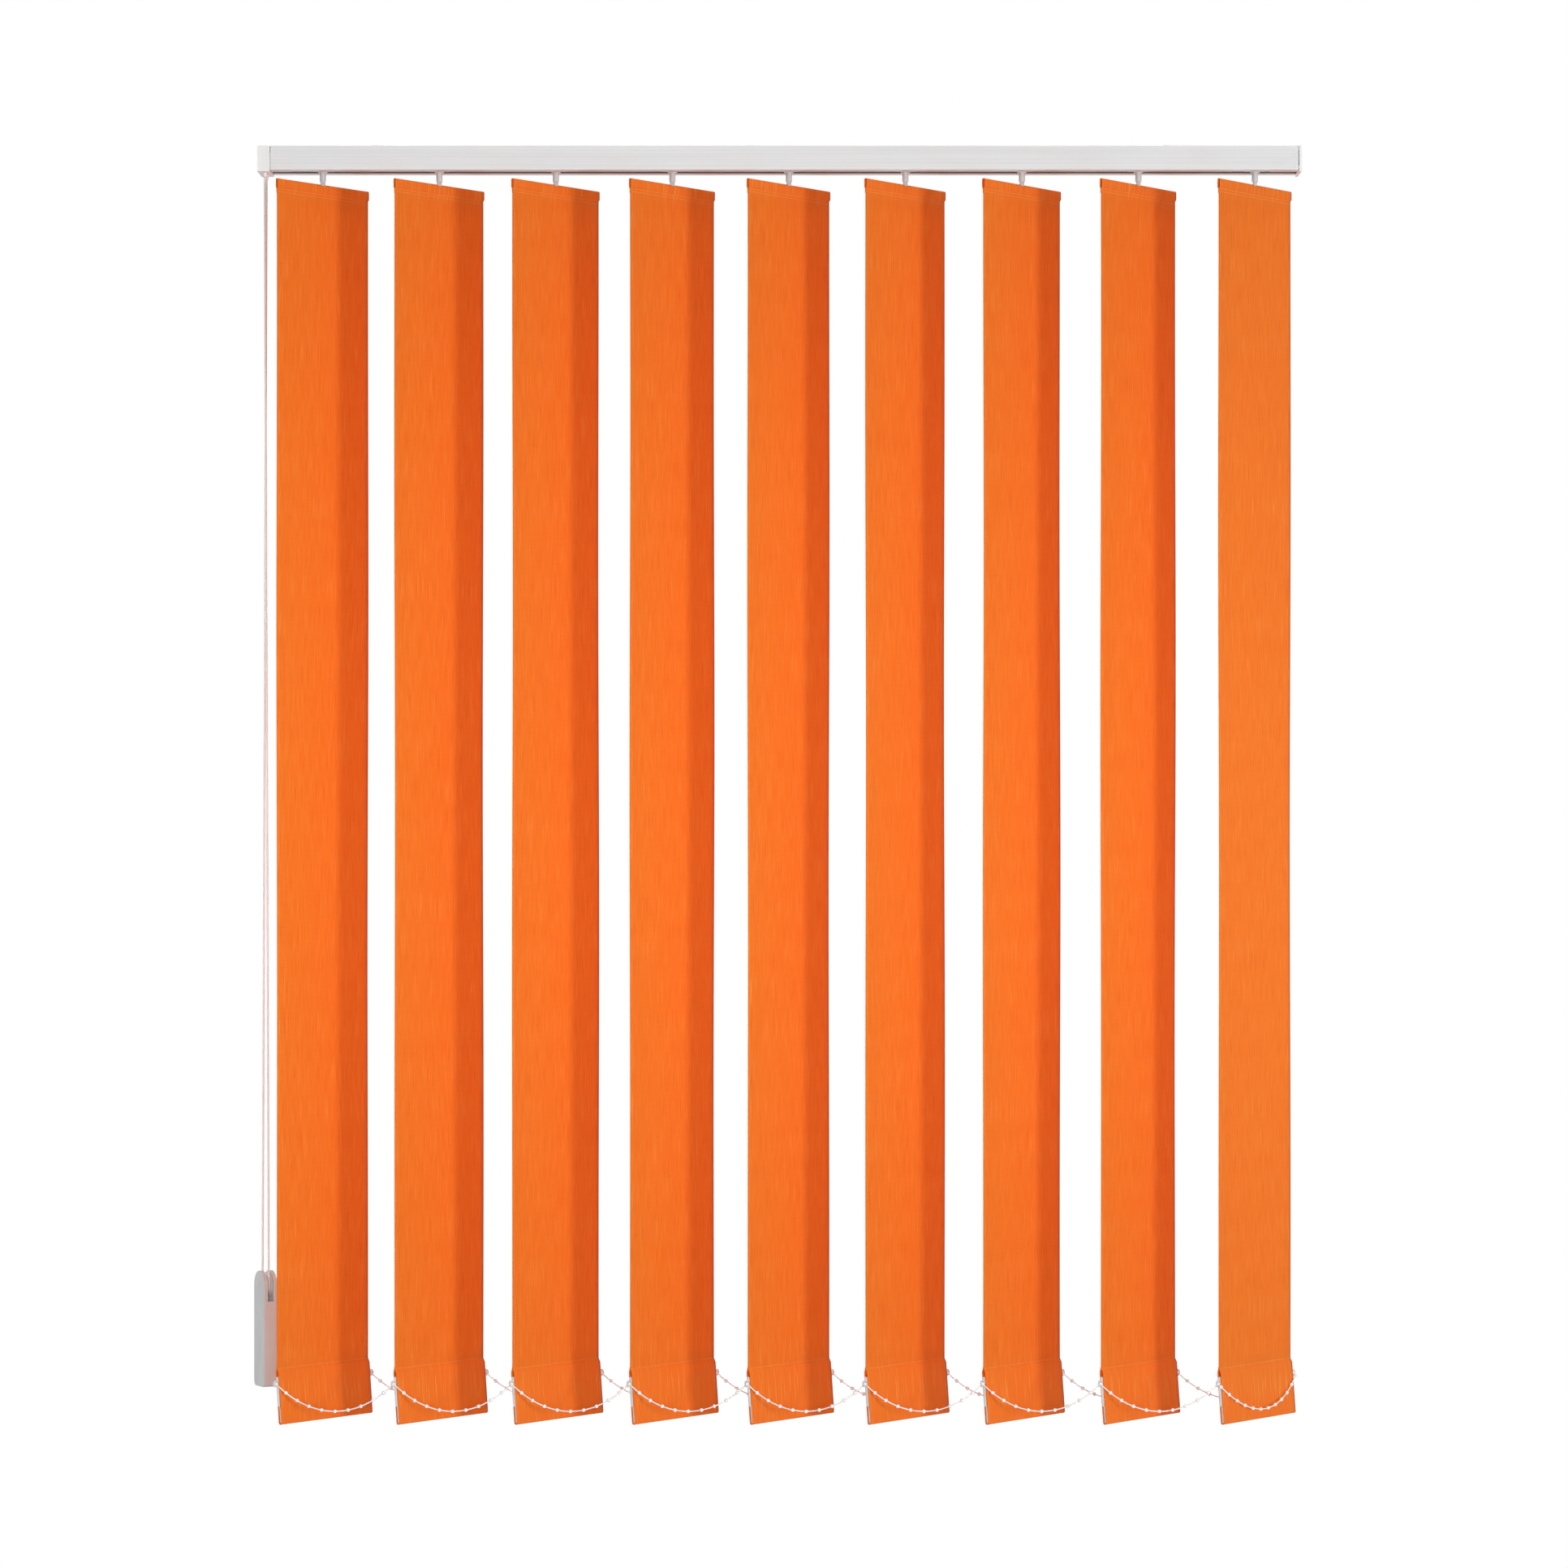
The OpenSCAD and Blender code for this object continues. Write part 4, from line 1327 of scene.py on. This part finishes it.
    def stitch(self, body: str) -> bpy.types.Object:
        """Sews the upper seam's two rows and the lower seam, on both faces.

        Args:
            body: Body that carries the vane.

        Returns:
            The thread.
        """
        draft = MeshDraft()
        proud = self.cloth / 2 + self.stitch_proud * self.stitch_r
        behind = self.behind + proud
        rows = (self.top - self.top_hem, self.top - self.top_hem + self.seam_gap, self.seam_z + self.stitch_r)
        seams = [(z, out) for z in rows for out in (-proud, behind)]
        count = int(self.width / self.stitch_gap) - 1
        half = self.stitch_len / 2
        flat = self.stitch_flat * half
        profile = [(-half, 0.0), (-flat, self.stitch_r), (flat, self.stitch_r), (half, 0.0)]
        ahead = np.array(self.place(1.0, 0.0, 0.0)) - np.array(self.place(0.0, 0.0, 0.0))
        for z, out in seams:
            for i in range(count):
                across = (i + 0.5 - count / 2) * self.stitch_gap
                draft.lathe(np.array(self.place(across, out, z)), ahead, profile, self.stitch_sides)
        return draft.build(f"vane_seams_{self.number}", self.finishes.thread, body, Slot.FABRIC)


@dataclass
class BottomChain:
    """Beaded chain that links the vanes' weight bars."""

    finishes: Finishes
    vane: Vane
    sag: float = 0.026
    bead_pitch: float = 0.0127
    bead_r: float = 0.0018
    bead_sides: int = 12
    bead_step: int = 20
    string_r: float = 0.0006
    string_sides: int = 6
    string_steps: int = 4
    slack_range: Range = (0.01, 4.0)
    slack_tries: int = 60
    clip_half: float = 0.0009
    clip_gap: float = 0.0003
    clip_reach: float = 0.0026
    clip_drop: float = 0.014
    bulge: float = 0.0068
    end_drop: float = 0.0027
    stack_pitch: float = 0.020

    def clip(self, number: int, edge: Edge) -> np.ndarray:
        """Finds a vane's chain clip.

        Args:
            number: Number of the vane.
            edge: Edge of the vane.

        Returns:
            The clip's place.
        """
        vane = Vane(number, self.finishes)
        out, z = vane.hem_place(0.0, -self.clip_drop)
        return np.array(vane.place(edge.value * (vane.width / 2 + self.clip_reach), out, z))

    def catenary(self, span: float) -> tuple[float, float]:
        """Solves the curve that hangs with the chain's sag.

        Args:
            span: Distance between its ends.

        Returns:
            The catenary's parameter and half of its length.
        """
        low, high = self.slack_range
        for _ in range(self.slack_tries):
            middle = (low + high) / 2
            if middle * (math.cosh(span / (2 * middle)) - 1) > self.sag:
                low = middle
            else:
                high = middle
        return middle, math.sqrt((self.sag + middle) ** 2 - middle ** 2)

    def bay(self, span: float, bulge: float) -> tuple[list[Point], list[Point]]:
        """Hangs one bay from the origin, along X, with its bulge towards -Y.

        Args:
            span: Distance between its ends.
            bulge: Distance that its middle stands forward.

        Returns:
            The beads' places, and the string's line.
        """
        a, half = self.catenary(span)
        gaps = round(2 * half / self.bead_pitch)

        def along(share: float) -> Point:
            """Follows the bay.

            Args:
                share: Share of the bay's length.

            Returns:
                The place there.
            """
            s = (2 * share - 1) * half
            return (span / 2 + a * math.asinh(s / a), -bulge * 4 * share * (1 - share),
                    math.sqrt(a * a + s * s) - a - self.sag)

        fine = self.string_steps * gaps
        return [along(i / gaps) for i in range(gaps + 1)], [along(i / fine) for i in range(fine + 1)]

    def hang(self, draft: MeshDraft, bays: int, span: float, bulge: float, start: np.ndarray,
             turn: float) -> None:
        """Hangs bays of chain in a row.

        Args:
            draft: Draft to add the chain to.
            bays: Number of bays.
            span: Width of one bay.
            bulge: Distance that a bay's middle stands forward.
            start: Place of the first end.
            turn: Turn of the row about Z, in degrees.
        """
        beads, string = self.bay(span, bulge)
        c, s = math.cos(math.radians(turn)), math.sin(math.radians(turn))

        def put(place: Point, bay: int) -> np.ndarray:
            """Moves a place in one bay to the part's frame.

            Args:
                place: Place in the first bay.
                bay: Number of the bay, from 0.

            Returns:
                The place in that bay.
            """
            x, y, z = place[0] + bay * span, place[1], place[2]
            return start + np.array((x * c - y * s, x * s + y * c, z))

        rings = [(-math.cos(math.radians(t)) * self.bead_r, math.sin(math.radians(t)) * self.bead_r)
                 for t in range(0, 181, self.bead_step)]
        line = [put(p, b) for b in range(bays) for p in string[(1 if b else 0):]]
        draft.tube(line, self.string_r, self.string_sides)
        for b in range(bays):
            for i in range(1 if b else 0, len(beads)):
                near = put(beads[min(i + 1, len(beads) - 1)], b) - put(beads[max(i - 1, 0)], b)
                draft.lathe(put(beads[i], b), near, rings, self.bead_sides)

    def build(self) -> None:
        """Makes the front, rear and end chains."""
        for edge, name in ((Edge.FRONT, "front_chain"), (Edge.REAR, "rear_chain")):
            start = self.clip(1, edge)
            draft = MeshDraft()
            self.hang(draft, VANE_COUNT - 1, self.vane.pitch, 0.0, start, 0.0)
            piece = draft.build(f"{name}_beads", self.finishes.bead, name, Slot.CHAIN)
            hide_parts(name)
            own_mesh(piece)
        last = Vane(VANE_COUNT, self.finishes)
        reach = last.width / 2 + self.clip_reach
        out, z = last.hem_place(0.0, -self.clip_drop)
        out = out - self.clip_half - self.bead_r - self.clip_gap
        start = np.array(last.place(-reach, out, z - self.end_drop))
        draft = MeshDraft()
        self.hang(draft, 1, 2 * reach, self.bulge, start, last.turn)
        piece = draft.build("end_chain_beads", self.finishes.bead, f"vane_{VANE_COUNT}", Slot.CHAIN)
        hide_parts("end_chain")


def main() -> None:
    """Builds the scene in order: camera, cord, studio, headrail, drive, vanes and chains."""
    PhotoCamera().build()
    finishes = Finishes()
    PullCord(finishes).build()
    Studio().build()
    Headrail(finishes).dress()
    CordDrive(finishes).dress()
    for number in range(1, VANE_COUNT + 1):
        Vane(number, finishes).build()
    BottomChain(finishes, Vane(1, finishes)).build()


if __name__ == "__main__":
    logging.basicConfig(level=logging.INFO, format="%(message)s")
    main()
